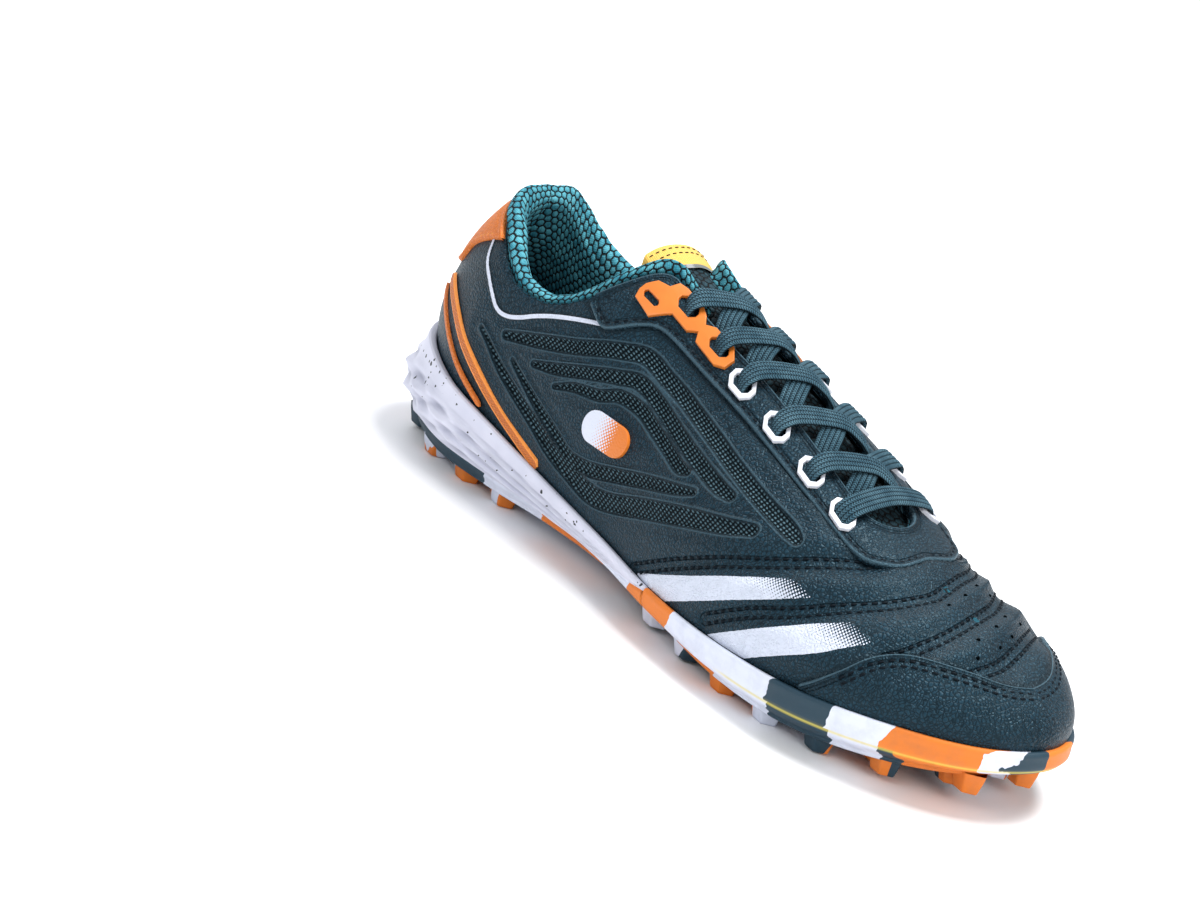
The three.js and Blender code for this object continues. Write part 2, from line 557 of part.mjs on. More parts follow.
// Padded ring inside the collar: its section in millimetres below the leather edge and into the shoe
const PAD_SECTION = [
  [-38, -2.5], [-18, -2.5], [0.3, -2.3], [3, -2.2], [5, -4], [5, -7], [1, -10.2], [-11, -9.8],
  [-26, -6.2], [-38, -3.6],
];
function belowEdge(q, side, down, lift, thin) {
  const e = edge(q, side);
  const span = 0.02;
  let [w, left] = [e, Math.max(0, -down)];
  let p = at(q, side * w);
  while (left > 0 && w < 1.6) {
    const next = at(q, side * (w + span));
    const step = next.distanceTo(p);
    const share = Math.min(1, left / step);
    w += span * share;
    left -= step * share;
    p = at(q, side * w);
  }
  const up = at(q, side * e).sub(at(q, side * (e + 0.02))).normalize();
  const out = normal(q, side * w);
  const depth = lift < -2.5 ? -2.5 + (lift + 2.5) * thin : lift;
  return p.addScaledVector(up, Math.max(0, down)).addScaledVector(out, depth);
}
const padQ = within(0, 3.95).reverse();
const padStops = [...padQ.map((q) => [q, -1]), ...padQ.slice(0, -1).reverse().map((q) => [q, 1])];
const padLoops = padStops.map(([q, side]) => {
  const thin = mix(1, 0.42, clamp((q - 3.1) / 0.75, 0, 1));
  const proud = mix(1, 0.75, clamp((q - 3.1) / 0.75, 0, 1));
  return PAD_SECTION.map(([down, lift]) => belowEdge(q, side, down > 0 ? down * proud : down, lift, thin));
});
add("collar_padding", sweep(padLoops));

// Tongue: half width as w, and how far its top face lies off the last
const TONGUE_HALF = [
  [3.7, 0.19], [3.85, 0.215], [4.1, 0.215], [4.3, 0.24], [4.6, 0.32], [5, 0.4], [6, 0.4], [7, 0.39], [8.3, 0.34],
];
const TONGUE_LIFT = [[3.7, -0.5], [3.95, -1.4], [4.2, -2.4], [7, -2.5], [8.3, -3]];
const tongueStations = [3.7, 3.85, 4, 4.15, 4.35, 4.6, 4.95, 5.35, 5.8, 6.25, 6.7, 7.1, 7.5, 7.9, 8.25];
const tongueThick = (q) => mix(4.6, 3.2, clamp((q - 4) / 3, 0, 1));
const tongueQuads = band(tongueStations, steps(7), (q) => -along(TONGUE_HALF, q), (q) => along(TONGUE_HALF, q));
const tongueEdge = (q, w) => (Math.abs(w) > along(TONGUE_HALF, q) - 0.01 ? 0.9 : 0);
add("tongue", sheet(tongueQuads,
  (q, w) => lifted(q, w, along(TONGUE_LIFT, q) - tongueEdge(q, w)),
  (q, w) => lifted(q, w, along(TONGUE_LIFT, q) - tongueThick(q) + tongueEdge(q, w)),
));
const labelQuads = band([3.71, 3.85, 4, 4.12], steps(6), () => -0.16, () => 0.16);
add("tongue_label", sheet(labelQuads,
  (q, w) => lifted(q, w, along(TONGUE_LIFT, q) + GAP + 0.9),
  (q, w) => lifted(q, w, along(TONGUE_LIFT, q) + GAP),
));

// Plates on the sheet: outlines in millimetres round a knot, along the shoe and up towards the centreline
function plate(q0, w0, outline, holes, from, to) {
  const perQ = at(q0 + 0.05, w0).distanceTo(at(q0 - 0.05, w0)) / 0.1;
  const perW = at(q0, w0 + 0.02).distanceTo(at(q0, w0 - 0.02)) / 0.04;
  const inwards = w0 < 0 ? 1 : -1;
  const knot = ([a, b]) => [q0 + a / perQ, w0 + (inwards * b) / perW];
  const vec = (list) => list.map(([a, b]) => new THREE.Vector2(a, b));
  const rings = [vec(outline), ...holes.map(vec)];
  const faces = THREE.ShapeUtils.triangulateShape(rings[0], rings.slice(1));
  const all = [...outline, ...holes.flat()];
  const quads = faces.map((f) => f.map((i) => knot(all[i])));
  return outwards(sheet(quads, (q, w) => lifted(q, w, to), (q, w) => lifted(q, w, from)));
}
const octagon = (long, wide, cut, a0 = 0, b0 = 0) => [
  [a0 - long / 2 + cut, b0 - wide / 2], [a0 + long / 2 - cut, b0 - wide / 2], [a0 + long / 2, b0 - wide / 2 + cut],
  [a0 + long / 2, b0 + wide / 2 - cut], [a0 + long / 2 - cut, b0 + wide / 2], [a0 - long / 2 + cut, b0 + wide / 2],
  [a0 - long / 2, b0 + wide / 2 - cut], [a0 - long / 2, b0 - wide / 2 + cut],
];
const plateLow = high + GAP;
const plateHigh = plateLow + 1;

// Eyelets down the throat, first the two of the moulded plate: station and w
const EYELETS = [[4.81, 0.202], [5.42, 0.224], [5.88, 0.25], [6.42, 0.25], [6.95, 0.245], [7.45, 0.235]];
for (const [name, side] of [["lateral", -1], ["medial", 1]]) {
  EYELETS.slice(2).forEach(([q, w], i) => {
    add("eyelet_loop_" + name + "_" + (i + 3),
      plate(q, side * w, octagon(12.4, 8.6, 2.6), [octagon(8.6, 5, 1.6).reverse()], plateLow, plateHigh));
  });
  const panel = [
    [-11.3, -6.2], [-3.2, -7.6], [3.2, -1.9], [11.1, -2.2], [14.8, 0.4], [16.6, -2.4], [26.9, -3.1], [30.4, -1.2],
    [30.9, 2.9], [27.4, 6], [18.1, 6], [14.8, 3.9], [12.4, 6.2], [8.8, 7.8], [0.2, 7.8], [-2.9, 6.9], [-4.2, 3.6],
    [-8.6, 2.2], [-11.2, -1.2], [-11.8, -3.6],
  ];
  const holes = [
    octagon(7, 2.2, 0.8, -6.2, -3.2), octagon(9, 5.2, 1.9, 5.6, 3.7), octagon(8.6, 4.4, 1.7, 24, 2),
  ].map((hole) => hole.reverse());
  add("eyelet_panel_" + name, plate(4.62, side * 0.25, panel, holes, plateLow, plateHigh));
  add("side_patch_" + name, plate(4.62, side * 0.73, octagon(19, 13, 4.5), [], low, high));
}

// Lace: straps over the throat, each a flat band at a height over the last
function strap(line, width, thick) {
  const curve = new THREE.CatmullRomCurve3(line.map(([q, w, lift]) => new THREE.Vector3(q, w * 10, lift)));
  const loops = steps(7).map((f) => {
    const [c, a, b] = [f, Math.max(0, f - 0.02), Math.min(1, f + 0.02)].map((v) => curve.getPoint(v));
    const run = lifted(b.x, b.y / 10, b.z).sub(lifted(a.x, a.y / 10, a.z)).normalize();
    const up = normal(c.x, c.y / 10);
    const across = run.clone().cross(up).normalize();
    const over = across.clone().cross(run).normalize();
    const mid = lifted(c.x, c.y / 10, c.z);
    const corner = (s, h) => mid.clone().addScaledVector(across, s * width * 0.5).addScaledVector(over, h);
    return [corner(-1, 0), corner(1, 0), corner(0.84, thick), corner(-0.84, thick)];
  });
  return solid(sweep(loops));
}
for (let i = 0; i < 5; i++) {
  const [q0, w0] = EYELETS[i];
  const [q1, w1] = EYELETS[i + 1];
  const over = strap([
    [q0, -w0, plateHigh + 0.7], [mix(q0, q1, 0.2), -w0 * 0.6, 4.6], [mix(q0, q1, 0.45), 0, 4.7],
    [mix(q0, q1, 0.55), w1 * 0.45, 4.3], [mix(q0, q1, 0.6), w1 * 0.68, 3.3],
  ], LACE_WIDTH, LACE_THICKNESS);
  const under = strap([
    [mix(q0, q1, 0.6), -w1 * 0.68, 3.2], [mix(q0, q1, 0.55), -w1 * 0.45, 3.3], [mix(q0, q1, 0.45), 0, 3.9],
    [mix(q0, q1, 0.2), w0 * 0.6, 4], [q0, w0, plateHigh + 0.7],
  ], LACE_WIDTH, LACE_THICKNESS);
  add("lace_cross_" + (i + 1), meshOf(over.add(under).simplify(0.05)));
}
const [barQ, barW] = EYELETS[5];
add("lace_bar", meshOf(strap([
  [barQ, -barW, plateHigh + 0.7], [barQ + 0.02, -barW * 0.5, 3.8], [barQ + 0.03, 0, 3.9],
  [barQ + 0.02, barW * 0.5, 3.8], [barQ, barW, plateHigh + 0.7],
], LACE_WIDTH, LACE_THICKNESS)));

// Origin: middle of the footprint, on the ground
const box = new THREE.Box3().setFromObject(group);
const middle = box.getCenter(new THREE.Vector3());
group.children.forEach((mesh) => mesh.position.set(-middle.x, -middle.y, -box.min.z));

export default group;
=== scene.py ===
"""Right turf football shoe. Shapes are in millimetres of the last; build() shifts them to the frame."""
import math

import bmesh
import bpy
import numpy as np
from mathutils import Matrix, Vector


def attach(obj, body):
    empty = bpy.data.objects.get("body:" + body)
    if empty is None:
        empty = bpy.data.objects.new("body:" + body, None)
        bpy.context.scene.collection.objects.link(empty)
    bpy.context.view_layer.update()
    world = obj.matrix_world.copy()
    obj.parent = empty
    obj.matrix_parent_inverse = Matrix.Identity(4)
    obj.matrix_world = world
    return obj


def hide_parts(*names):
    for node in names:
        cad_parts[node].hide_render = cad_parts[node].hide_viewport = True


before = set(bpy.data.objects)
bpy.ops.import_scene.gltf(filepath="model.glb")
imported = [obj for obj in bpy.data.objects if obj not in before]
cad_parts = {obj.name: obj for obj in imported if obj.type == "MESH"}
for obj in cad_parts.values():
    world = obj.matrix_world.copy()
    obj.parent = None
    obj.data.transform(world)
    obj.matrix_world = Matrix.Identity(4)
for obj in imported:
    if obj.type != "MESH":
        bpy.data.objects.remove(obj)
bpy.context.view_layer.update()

# Sizes and tables of the solids
SHIFT = np.array([-142.890, 0.293, 0.0])
LAST_LENGTH = 281.0
BALL_HALF = 48.0
INSTEP_HEIGHT = 90.0
LAST_BACK = 5.0
WALL = 1.8
THROAT_END = 0.73
THROAT_HALF = 9.5
THROAT_HALF_LOW = 10.0
# Width over which the collar's edge rounds into the throat
COLLAR_BLEND = 16.0
LUG_HEIGHT = 4.6
LUG_SIZE = 10.8
FINE = 1.0

LAST_ROWS = np.array([
    [0.000, 0.00, 0.00, 0.405, 0.110, 1.12, 13, 0.45, 0.20, 0.20],
    [0.030, 0.41, 0.42, 0.390, 0.130, 1.12, 12, 0.45, 0.40, 0.40],
    [0.115, 0.65, 0.62, 0.340, 0.165, 1.12, 10, 0.45, 0.60, 0.58],
    [0.215, 0.68, 0.61, 0.284, 0.220, 1.12, 8, 0.45, 0.62, 0.60],
    [0.325, 0.71, 0.58, 0.236, 0.300, 1.10, 6, 0.45, 0.58, 0.56],
    [0.440, 0.78, 0.67, 0.202, 0.400, 1.01, 5, 0.45, 0.45, 0.45],
    [0.560, 0.92, 0.85, 0.185, 0.515, 0.92, 5, 0.45, 0.45, 0.45],
    [0.680, 0.99, 0.97, 0.192, 0.640, 0.785, 6, 0.45, 0.50, 0.50],
    [0.795, 0.95, 0.95, 0.214, 0.750, 0.645, 8, 0.45, 0.60, 0.60],
    [0.895, 0.73, 0.80, 0.243, 0.830, 0.575, 10, 0.45, 0.62, 0.62],
    [0.970, 0.38, 0.48, 0.264, 0.880, 0.540, 12, 0.45, 0.40, 0.40],
    [1.000, 0.00, 0.06, 0.275, 0.905, 0.510, 12, 0.45, 0.25, 0.25],
])
FOOT_X, FOOT_LAT, FOOT_MED, FOOT_Z, RIDGE_X, RIDGE_Z, LEAN, RISE, REACH_LAT, REACH_MED = LAST_ROWS.T
SOLE_ROWS = np.array([
    [0.095, 0.225, 0.02, 0.165, 0.060],
    [0.066, 0.222, 0.02, 0.140, 0.060],
    [0.051, 0.215, 0.03, 0.085, 0.055],
    [0.051, 0.198, 0.05, 0.055, 0.050],
    [0.072, 0.172, 0.07, 0.040, 0.050],
    [0.085, 0.146, 0.08, 0.035, 0.050],
    [0.072, 0.128, 0.08, 0.040, 0.050],
    [0.051, 0.122, 0.06, 0.050, 0.055],
    [0.054, 0.130, 0.06, 0.055, 0.060],
    [0.082, 0.152, 0.08, 0.060, 0.065],
    [0.120, 0.185, 0.10, 0.070, 0.070],
    [0.145, 0.208, 0.12, 0.070, 0.075],
])
UNDER, BED, TUCK, FLARE, LIP = SOLE_ROWS.T
COLLAR_LATERAL = [
    (-0.02, 1.02), (0.045, 1.015), (0.062, 1), (0.078, 0.955), (0.11, 0.9), (0.142, 0.833),
    (0.167, 0.794), (0.192, 0.784), (0.221, 0.793), (0.246, 0.824), (0.274, 0.889), (0.295, 0.961),
    (0.317, 1.033), (0.338, 1.1), (0.381, 1.244),
]
COLLAR_MEDIAL = [
    (-0.02, 1.02), (0.045, 1.015), (0.062, 1), (0.069, 0.95), (0.075, 0.89), (0.083, 0.835),
    (0.098, 0.796), (0.122, 0.776), (0.15, 0.768), (0.18, 0.77), (0.215, 0.791), (0.246, 0.829),
    (0.274, 0.889), (0.295, 0.961), (0.317, 1.033), (0.338, 1.1), (0.381, 1.244),
]
SPLIT = [
    (-0.125, 0.122), (-0.018, 0.116), (0.053, 0.107), (0.196, 0.102), (0.338, 0.116), (0.445, 0.133),
    (0.509, 0.151), (0.544, 0.171), (0.569, 0.217), (0.584, 0.333), (0.587, 0.667),
]
TOE_CAP = [
    (8.06, 0.955), (8.2, 0.89), (8.4, 0.77), (8.6, 0.63), (8.83, 0.53), (9.1, 0.47), (9.6, 0.44),
    (10.5, 0.42), (11, 0.41),
]
EYESTAY = [
    (3.7, 0.45), (3.9, 0.48), (4.05, 0.49), (4.2, 0.465), (4.45, 0.4), (4.65, 0.355), (4.9, 0.34),
    (5.5, 0.34), (6.2, 0.33), (7, 0.32), (7.6, 0.3), (7.9, 0.27), (8.1, 0.2), (8.22, 0.14), (8.28, 0.07),
    (8.31, 0),
]
HEEL_TAB_LATERAL = [(0, 0.73), (0.95, 0.71), (1.2, 0.6), (1.55, 0.52), (1.8, 0.48)]
HEEL_TAB_MEDIAL = [(0, 0.73), (0.95, 0.71), (1.2, 0.66), (1.5, 0.63), (1.8, 0.61)]
STRIPE_WIDE = [
    (1.12, 0.745), (1.45, 0.77), (1.75, 0.8), (2.2, 0.86), (2.8, 0.93), (3.35, 0.968), (3.75, 0.99),
]
STRIPE_THIN = [(1.0, 0.8), (1.45, 0.85), (1.85, 0.905), (2.2, 0.945), (2.65, 0.985)]
EYELETS = [(4.81, 0.202), (5.42, 0.224), (5.88, 0.25), (6.42, 0.25), (6.95, 0.245), (7.45, 0.235)]
LAST_ROW = len(LAST_ROWS) - 1
TIP_Y = FOOT_MED[-1] * BALL_HALF
LATERAL, MEDIAL = -1, 1
SIDES = (LATERAL, MEDIAL)
NAMED_SIDES = ((LATERAL, "lateral"), (MEDIAL, "medial"))
# Stations where the overlays begin and end
CAP_START = 8.06
STAY_SPAN = (3.72, 8.308)
TAB_STOP = 1.79
# Distances are measured up to this far, in millimetres
FAR = 14.0


def mix(a, b, f):
    return a + (b - a) * f


def smooth(x, a, b):
    t = np.clip((np.asarray(x, float) - a) / (b - a), 0, 1)
    return t * t * (3 - 2 * t)


def along(table, x):
    t = np.array(table)
    return np.interp(x, t[:, 0], t[:, 1])


def lengths(p):
    """Length from the start of a polyline to each of its points."""
    return np.concatenate([[0], np.cumsum(np.linalg.norm(np.diff(p, axis=0), axis=1))])


def between_rows(a, b, c, d, f):
    """Catmull-Rom curve from b to c at the share f."""
    square = (2 * a - 5 * b + 4 * c - d) * f * f
    return 0.5 * (2 * b + (c - a) * f + square + (3 * b - a - 3 * c + d) * f ** 3)


def spline(values, q, start_odd=False, end_odd=False):
    v = np.asarray(values, float)
    n = len(v) - 1
    before = 2 * v[0] - v[1] if start_odd else v[1]
    after = 2 * v[n] - v[n - 1] if end_odd else v[n - 1]
    e = np.concatenate([[before], v, [after]])
    q = np.clip(q, 0, n)
    i = np.minimum(np.floor(q).astype(int), n - 1)
    return between_rows(e[i], e[i + 1], e[i + 2], e[i + 3], q - i)


def unit(v):
    return v / np.maximum(np.linalg.norm(v, axis=-1, keepdims=True), 1e-12)


# Surface of the last
def foot_place(q, side):
    lat = -FOOT_LAT.copy()
    lat[-1] = FOOT_MED[-1]
    y = np.where(side < 0, spline(lat, q, True, True), spline(FOOT_MED, q, True, True)) * BALL_HALF
    return spline(FOOT_X, q) * LAST_LENGTH + LAST_BACK, y


def foot(q, side):
    q, side = np.broadcast_arrays(np.asarray(q, float), side)
    x, y = foot_place(q, side)
    xa, ya = foot_place(np.maximum(q - 1e-3, 0), side)
    xb, yb = foot_place(np.minimum(q + 1e-3, LAST_ROW), side)
    dx, dy = xb - xa, yb - ya
    end = (q <= 1e-6) | (q >= LAST_ROW - 1e-6)
    dx = np.where(end, 0, dx)
    dy = np.where(end, side * np.where(q < 1, 1.0, -1.0), dy)
    size = np.hypot(dx, dy)
    nx = np.where(side < 0, dy, -dy) / size
    ny = np.where(side < 0, -dx, dx) / size
    return x, y, spline(FOOT_Z, q) * INSTEP_HEIGHT, nx, ny


def ridge(q):
    x = spline(RIDGE_X, q, True, True) * LAST_LENGTH + LAST_BACK
    y = TIP_Y * np.clip((q - 6) / (LAST_ROW - 6), 0, 1) ** 2
    return x, y, spline(RIDGE_Z, q, True, True) * INSTEP_HEIGHT


def at(q, w):
    q, w = np.broadcast_arrays(np.asarray(q, float), np.asarray(w, float))
    flip = q < 0
    q, w = np.where(flip, -q, q), np.where(flip, -w, w)
    flip = q > LAST_ROW
    q, w = np.where(flip, 2 * LAST_ROW - q, q), np.where(flip, -w, w)
    side = np.where(w < 0, -1, 1)
    t = 1 - np.abs(w)
    bx, by, bz, nx, ny = foot(q, side)
    lean = np.radians(spline(LEAN, q))
    depth = np.maximum(-t, 0) * (bz - spline(BED, q) * INSTEP_HEIGHT - 1)
    inwards = depth * np.tan(lean + 0.1)
    skirt = np.stack([bx - nx * inwards, by - ny * inwards, bz - depth], -1)
    top = np.stack(ridge(q), -1)
    r0, r1 = ridge(np.maximum(q - 1e-3, 0)), ridge(np.minimum(q + 1e-3, LAST_ROW))
    slope = (r1[2] - r0[2]) / (r1[0] - r0[0])
    rise = spline(RISE, q) * (top[..., 2] - bz)
    reach = np.where(side < 0, spline(REACH_LAT, q), spline(REACH_MED, q)) * BALL_HALF
    p0 = np.stack([bx, by, bz], -1)
    p1 = p0 + rise[..., None] * np.stack([nx * np.sin(lean), ny * np.sin(lean), np.cos(lean)], -1)
    p2 = top + reach[..., None] * np.stack([nx, ny, nx * slope], -1)
    t = np.maximum(t, 0)[..., None]
    u = 1 - t
    wall = p0 * u ** 3 + p1 * 3 * u * u * t + p2 * 3 * u * t * t + top * t ** 3
    return np.where(np.abs(w)[..., None] > 1, skirt, wall)


def normal(q, w):
    dq = at(q + 0.02, w) - at(q - 0.02, w)
    dw = at(q, w + 0.01) - at(q, w - 0.01)
    return unit(np.cross(dq, dw))


def lifted(q, w, lift):
    return at(q, w) + normal(q, w) * np.asarray(lift, float)[..., None]


def is_open(q, w):
    p = at(q, w)
    share = (p[..., 0] - LAST_BACK) / LAST_LENGTH
    height = np.where(w < 0, along(COLLAR_LATERAL, share), along(COLLAR_MEDIAL, share))
    collar = p[..., 2] - height * INSTEP_HEIGHT
    half = mix(THROAT_HALF, THROAT_HALF_LOW, np.clip((share - 0.34) / 0.32, 0, 1))
    beyond = p[..., 0] - (LAST_BACK + THROAT_END * LAST_LENGTH - half)
    across = np.where(beyond > 0, np.hypot(p[..., 1], beyond), np.abs(p[..., 1]))
    throat = np.where((share > 0.2) & (p[..., 2] > 0.55 * INSTEP_HEIGHT), half - across, -20)
    blend = np.clip(0.5 + (collar - throat) / COLLAR_BLEND, 0, 1)
    return mix(throat, collar, blend) + COLLAR_BLEND / 2 * blend * (1 - blend)


def throat_end():
    a, b = 6.0, 9.0
    for _ in range(40):
        m = (a + b) / 2
        if is_open(m, 0.0) > 0:
            a = m
        else:
            b = m
    return (a + b) / 2


THROAT_Q = throat_end()
CLUSTER = [THROAT_Q - 0.3 * (1 - k / 12) ** 2 for k in range(13)]


def edge(q, side):
    """Share |w| of the upper's edge at stations q; zero where the vamp is closed."""
    q = np.asarray(q, float)
    shape = q.shape
    q = q.ravel()
    grid = np.arange(0, 46) * 0.02
    opened = is_open(q[:, None], side * grid[None, :]) >= 0
    last = np.where(opened.any(1), 45 - opened[:, ::-1].argmax(1), 0)
    lo = grid[last]
    hi = lo + 0.02
    for _ in range(26):
        m = (lo + hi) / 2
        inside = is_open(q, side * m) > 0
        lo, hi = np.where(inside, m, lo), np.where(inside, hi, m)
    return np.where(q >= THROAT_Q, 0, (lo + hi) / 2).reshape(shape)


# Curves on the surface
def catmull(points, count):
    """Smooth curve through rows of numbers, count samples, even in the row index."""
    p = np.asarray(points, float)
    s = np.linspace(0, len(p) - 1, count)
    return np.stack([spline(p[:, k], s, True, True) for k in range(p.shape[1])], -1)


def resample(p, step, extra=None):
    """Points at even distances along a polyline; extra columns follow."""
    d = lengths(p)
    n = max(2, int(round(d[-1] / step)) + 1)
    s = np.linspace(0, d[-1], n)
    out = np.stack([np.interp(s, d, p[:, k]) for k in range(3)], -1)
    if extra is None:
        return out
    return out, np.stack([np.interp(s, d, extra[:, k]) for k in range(extra.shape[1])], -1)


def surface_line(table, side, step=0.6):
    """Points and rows (q, w, ...) through table rows (q, |w|, ...) on one side."""
    c = catmull(table, 40 * len(table))
    c[:, 1] = side * c[:, 1]
    return resample(at(c[:, 0], c[:, 1]), step, c)


def settle(points, q, w):
    """Knots of the surface points nearest to given points, from rough knots."""
    for _ in range(6):
        r = points - at(q, w)
        a = (at(q + 1e-3, w) - at(q - 1e-3, w)) / 2e-3
        b = (at(q, w + 1e-3) - at(q, w - 1e-3)) / 2e-3
        aa, bb, ab = (a * a).sum(-1), (b * b).sum(-1), (a * b).sum(-1)
        ra, rb = (r * a).sum(-1), (r * b).sum(-1)
        det = np.maximum(aa * bb - ab * ab, 1e-6)
        q = q + np.clip((ra * bb - rb * ab) / det, -0.2, 0.2)
        w = w + np.clip((rb * aa - ra * ab) / det, -0.1, 0.1)
    return q, w


GRID_Q, GRID_W = np.meshgrid(np.linspace(5.2, 10.95, 240), np.linspace(-1, 1, 201), indexing="ij")
GRID = at(GRID_Q, GRID_W).reshape(-1, 3)


def grid_knots(picked):
    return GRID_Q.ravel()[picked], GRID_W.ravel()[picked]


def knots_below(places):
    """Knots of a coarse grid over the vamp, under the given places."""
    side_wall = np.where(GRID[:, 2] < 22, 400, 0)
    weights = np.array([1, 1, 0.002])
    return grid_knots([((GRID - p) ** 2 @ weights + side_wall).argmin() for p in places])


def dropped_line(table):
    """Smooth space curve through knots, laid down on the surface."""
    t = np.array(table)
    curve = resample(catmull(at(t[:, 0], t[:, 1]), 30 * len(t)), 0.6)
    q, w = settle(curve, *grid_knots([((GRID - p) ** 2).sum(1).argmin() for p in curve]))
    return at(q, w), np.stack([q, w], -1)


def distance(points, line, widths=None):
    """Least distance from points to a line of samples, less the half widths, and FAR at most."""
    out = np.full(len(points), FAR)
    lo, hi = line.min(0) - FAR, line.max(0) + FAR
    near = np.nonzero(((points > lo) & (points < hi)).all(1))[0]
    widths = np.zeros(len(line)) if widths is None else widths
    for part in np.array_split(near, max(1, len(near) // 8000)):
        p = points[part]
        d = np.linalg.norm(p[:, None, :] - line[None, :, :], axis=2) - widths[None, :] / 2
        k = d.argmin(1)
        best = d.min(1)
        # The two pieces of the line that meet at the nearest sample
        for a, b in ((np.maximum(k - 1, 0), k), (k, np.minimum(k + 1, len(line) - 1))):
            run = line[b] - line[a]
            t = np.clip(((p - line[a]) * run).sum(1) / np.maximum((run ** 2).sum(1), 1e-9), 0, 1)
            away = np.linalg.norm(p - line[a] - run * t[:, None], axis=1)
            best = np.minimum(best, away - mix(widths[a], widths[b], t) / 2)
        out[part] = np.minimum(out[part], best)
    return out


def nearest(points, lines, widths=None):
    """Least distance to any of the lines."""
    widths = widths or [None] * len(lines)
    return np.minimum.reduce([distance(points, line, wide) for line, wide in zip(lines, widths)])


# Recessed bands of the side: station, |w| and width in millimetres
BANDS = [
    [(2.70, .72, 2.4), (3.33, .65, 4.0), (3.90, .58, 4.4), (4.40, .50, 4.8), (4.73, .45, 5.0),
     (5.08, .45, 4.8), (5.40, .45, 4.7), (5.90, .46, 4.7), (6.33, .47, 4.7), (6.75, .47, 4.8),
     (7.15, .46, 5.0), (7.30, .46, 3.2)],
    [(3.28, .73, 1.6), (3.65, .69, 3.2), (4.10, .63, 3.7), (4.50, .57, 4.2), (4.78, .53, 4.5),
     (5.12, .53, 4.5), (5.58, .55, 4.7), (5.98, .56, 4.7), (6.28, .56, 4.5), (6.45, .55, 3.2)],
    [(3.68, .74, 1.1), (3.95, .70, 2.4), (4.33, .66, 3.2), (4.62, .61, 3.7), (4.95, .59, 4.0),
     (5.23, .60, 4.0), (5.50, .61, 4.0), (5.73, .62, 3.9), (5.85, .61, 2.4)],
    [(2.30, .76, 1.3), (2.48, .78, 1.6), (2.78, .82, 2.9), (3.12, .85, 3.4), (3.50, .88, 4.0),
     (3.85, .91, 4.7), (4.20, .92, 5.3), (4.58, .92, 6.1), (4.93, .89, 5.6), (5.53, .80, 5.9),
     (6.05, .72, 5.8), (6.53, .64, 5.1), (6.85, .57, 4.0)],
    [(2.95, .77, 1.1), (3.23, .80, 1.9), (3.53, .83, 2.9), (3.90, .86, 3.5), (4.17, .88, 4.0),
     (4.50, .86, 4.2), (4.88, .81, 4.0), (5.38, .74, 3.9), (5.80, .68, 3.2), (6.03, .64, 1.9)],
]
PIPING = [
    (1.60, .515), (1.80, .57), (2.02, .605), (2.23, .645), (2.38, .668), (2.55, .67), (2.78, .645),
    (3.30, .565), (4.02, .48),
]
# Sewn channels over the vamp: station and signed w, from the outer sole line over the centreline
SEAMS = [
    [(5.55, -1.0), (6.1, -.87), (6.45, -.79), (7.28, -.57), (7.84, -.32), (7.97, -.23)],
    [(6.73, -.95), (7.25, -.80), (7.73, -.65), (8.35, -.36), (8.72, -.13), (8.81, -.01), (8.46, .14),
     (8.18, .28), (7.71, .49), (7.2, .69), (6.73, .95)],
    [(8.75, -.58), (8.9, -.5), (9.18, -.3), (9.45, -.12), (9.49, .04), (8.95, .18), (8.49, .34),
     (8.15, .49), (7.89, .62)],
    [(9.64, -.51), (9.91, -.4), (10.38, -.26), (10.14, .2), (9.38, .31), (8.96, .43), (8.75, .52)],
    [(7.97, .23), (7.84, .32), (7.28, .57), (6.45, .79), (6.1, .87), (5.55, 1.0)],
]
# White flashes: upper and lower border from the sole to the tip, and the share where the fade starts
FLASHES = [
    ([(5.62, 1.0), (6.1, .91), (6.5, .83), (7.08, .695), (7.53, .57)],
     [(6.08, 1.015), (6.6, .905), (7.12, .78), (7.48, .675), (7.8, .555)], 0.5),
    ([(6.82, 1.0), (7.25, .88), (7.62, .765), (7.93, .65), (8.25, .53)],
     [(7.34, 1.0), (7.73, .885), (8.08, .775), (8.33, .665), (8.58, .55)], 0.42),
]
# Perforations: millimetres along the last and across it
HOLES = [
    (242.6, -5.9), (239.4, 4.6), (234.4, 14.4), (237.1, 18.5), (247.8, -1.6), (243.3, 9.7), (257.7, -6.3),
    (263.1, -10.5), (254, 4.7), (260.2, 1.3), (248.2, 14.8), (257.2, 9.1), (249.7, 20),
]

BAND_LINES = [(pts, rows[:, 2]) for pts, rows in (surface_line(t, side) for side in SIDES for t in BANDS)]
PIPE_LINES = [surface_line(PIPING, side)[0] for side in SIDES]
SEAM_LINES = [dropped_line(table) for table in SEAMS]
STRIPE_LINES = [[surface_line(t, side)[0] for t in (STRIPE_WIDE, STRIPE_THIN)] for side in SIDES]


def wobble(p, size, seed):
    """Smooth seeded unevenness between -1 and 1 of points in millimetres."""
    rng = np.random.default_rng(seed)
    out = np.zeros(len(p))
    for _ in range(7):
        k = rng.normal(size=3) / size
        out += np.sin(p @ k * 2 * math.pi * 0.6 + rng.uniform(0, 6.28))
    return out / 4


# Relief of the upper in millimetres
BAND_DEPTH, BAND_LIP, BAND_SWELL = 0.9, 0.30, 0.35
PIPE_HEIGHT, PUFF_HEIGHT, GROOVE_DEPTH, UNEVEN = 0.4, 1.5, 0.75, 0.22


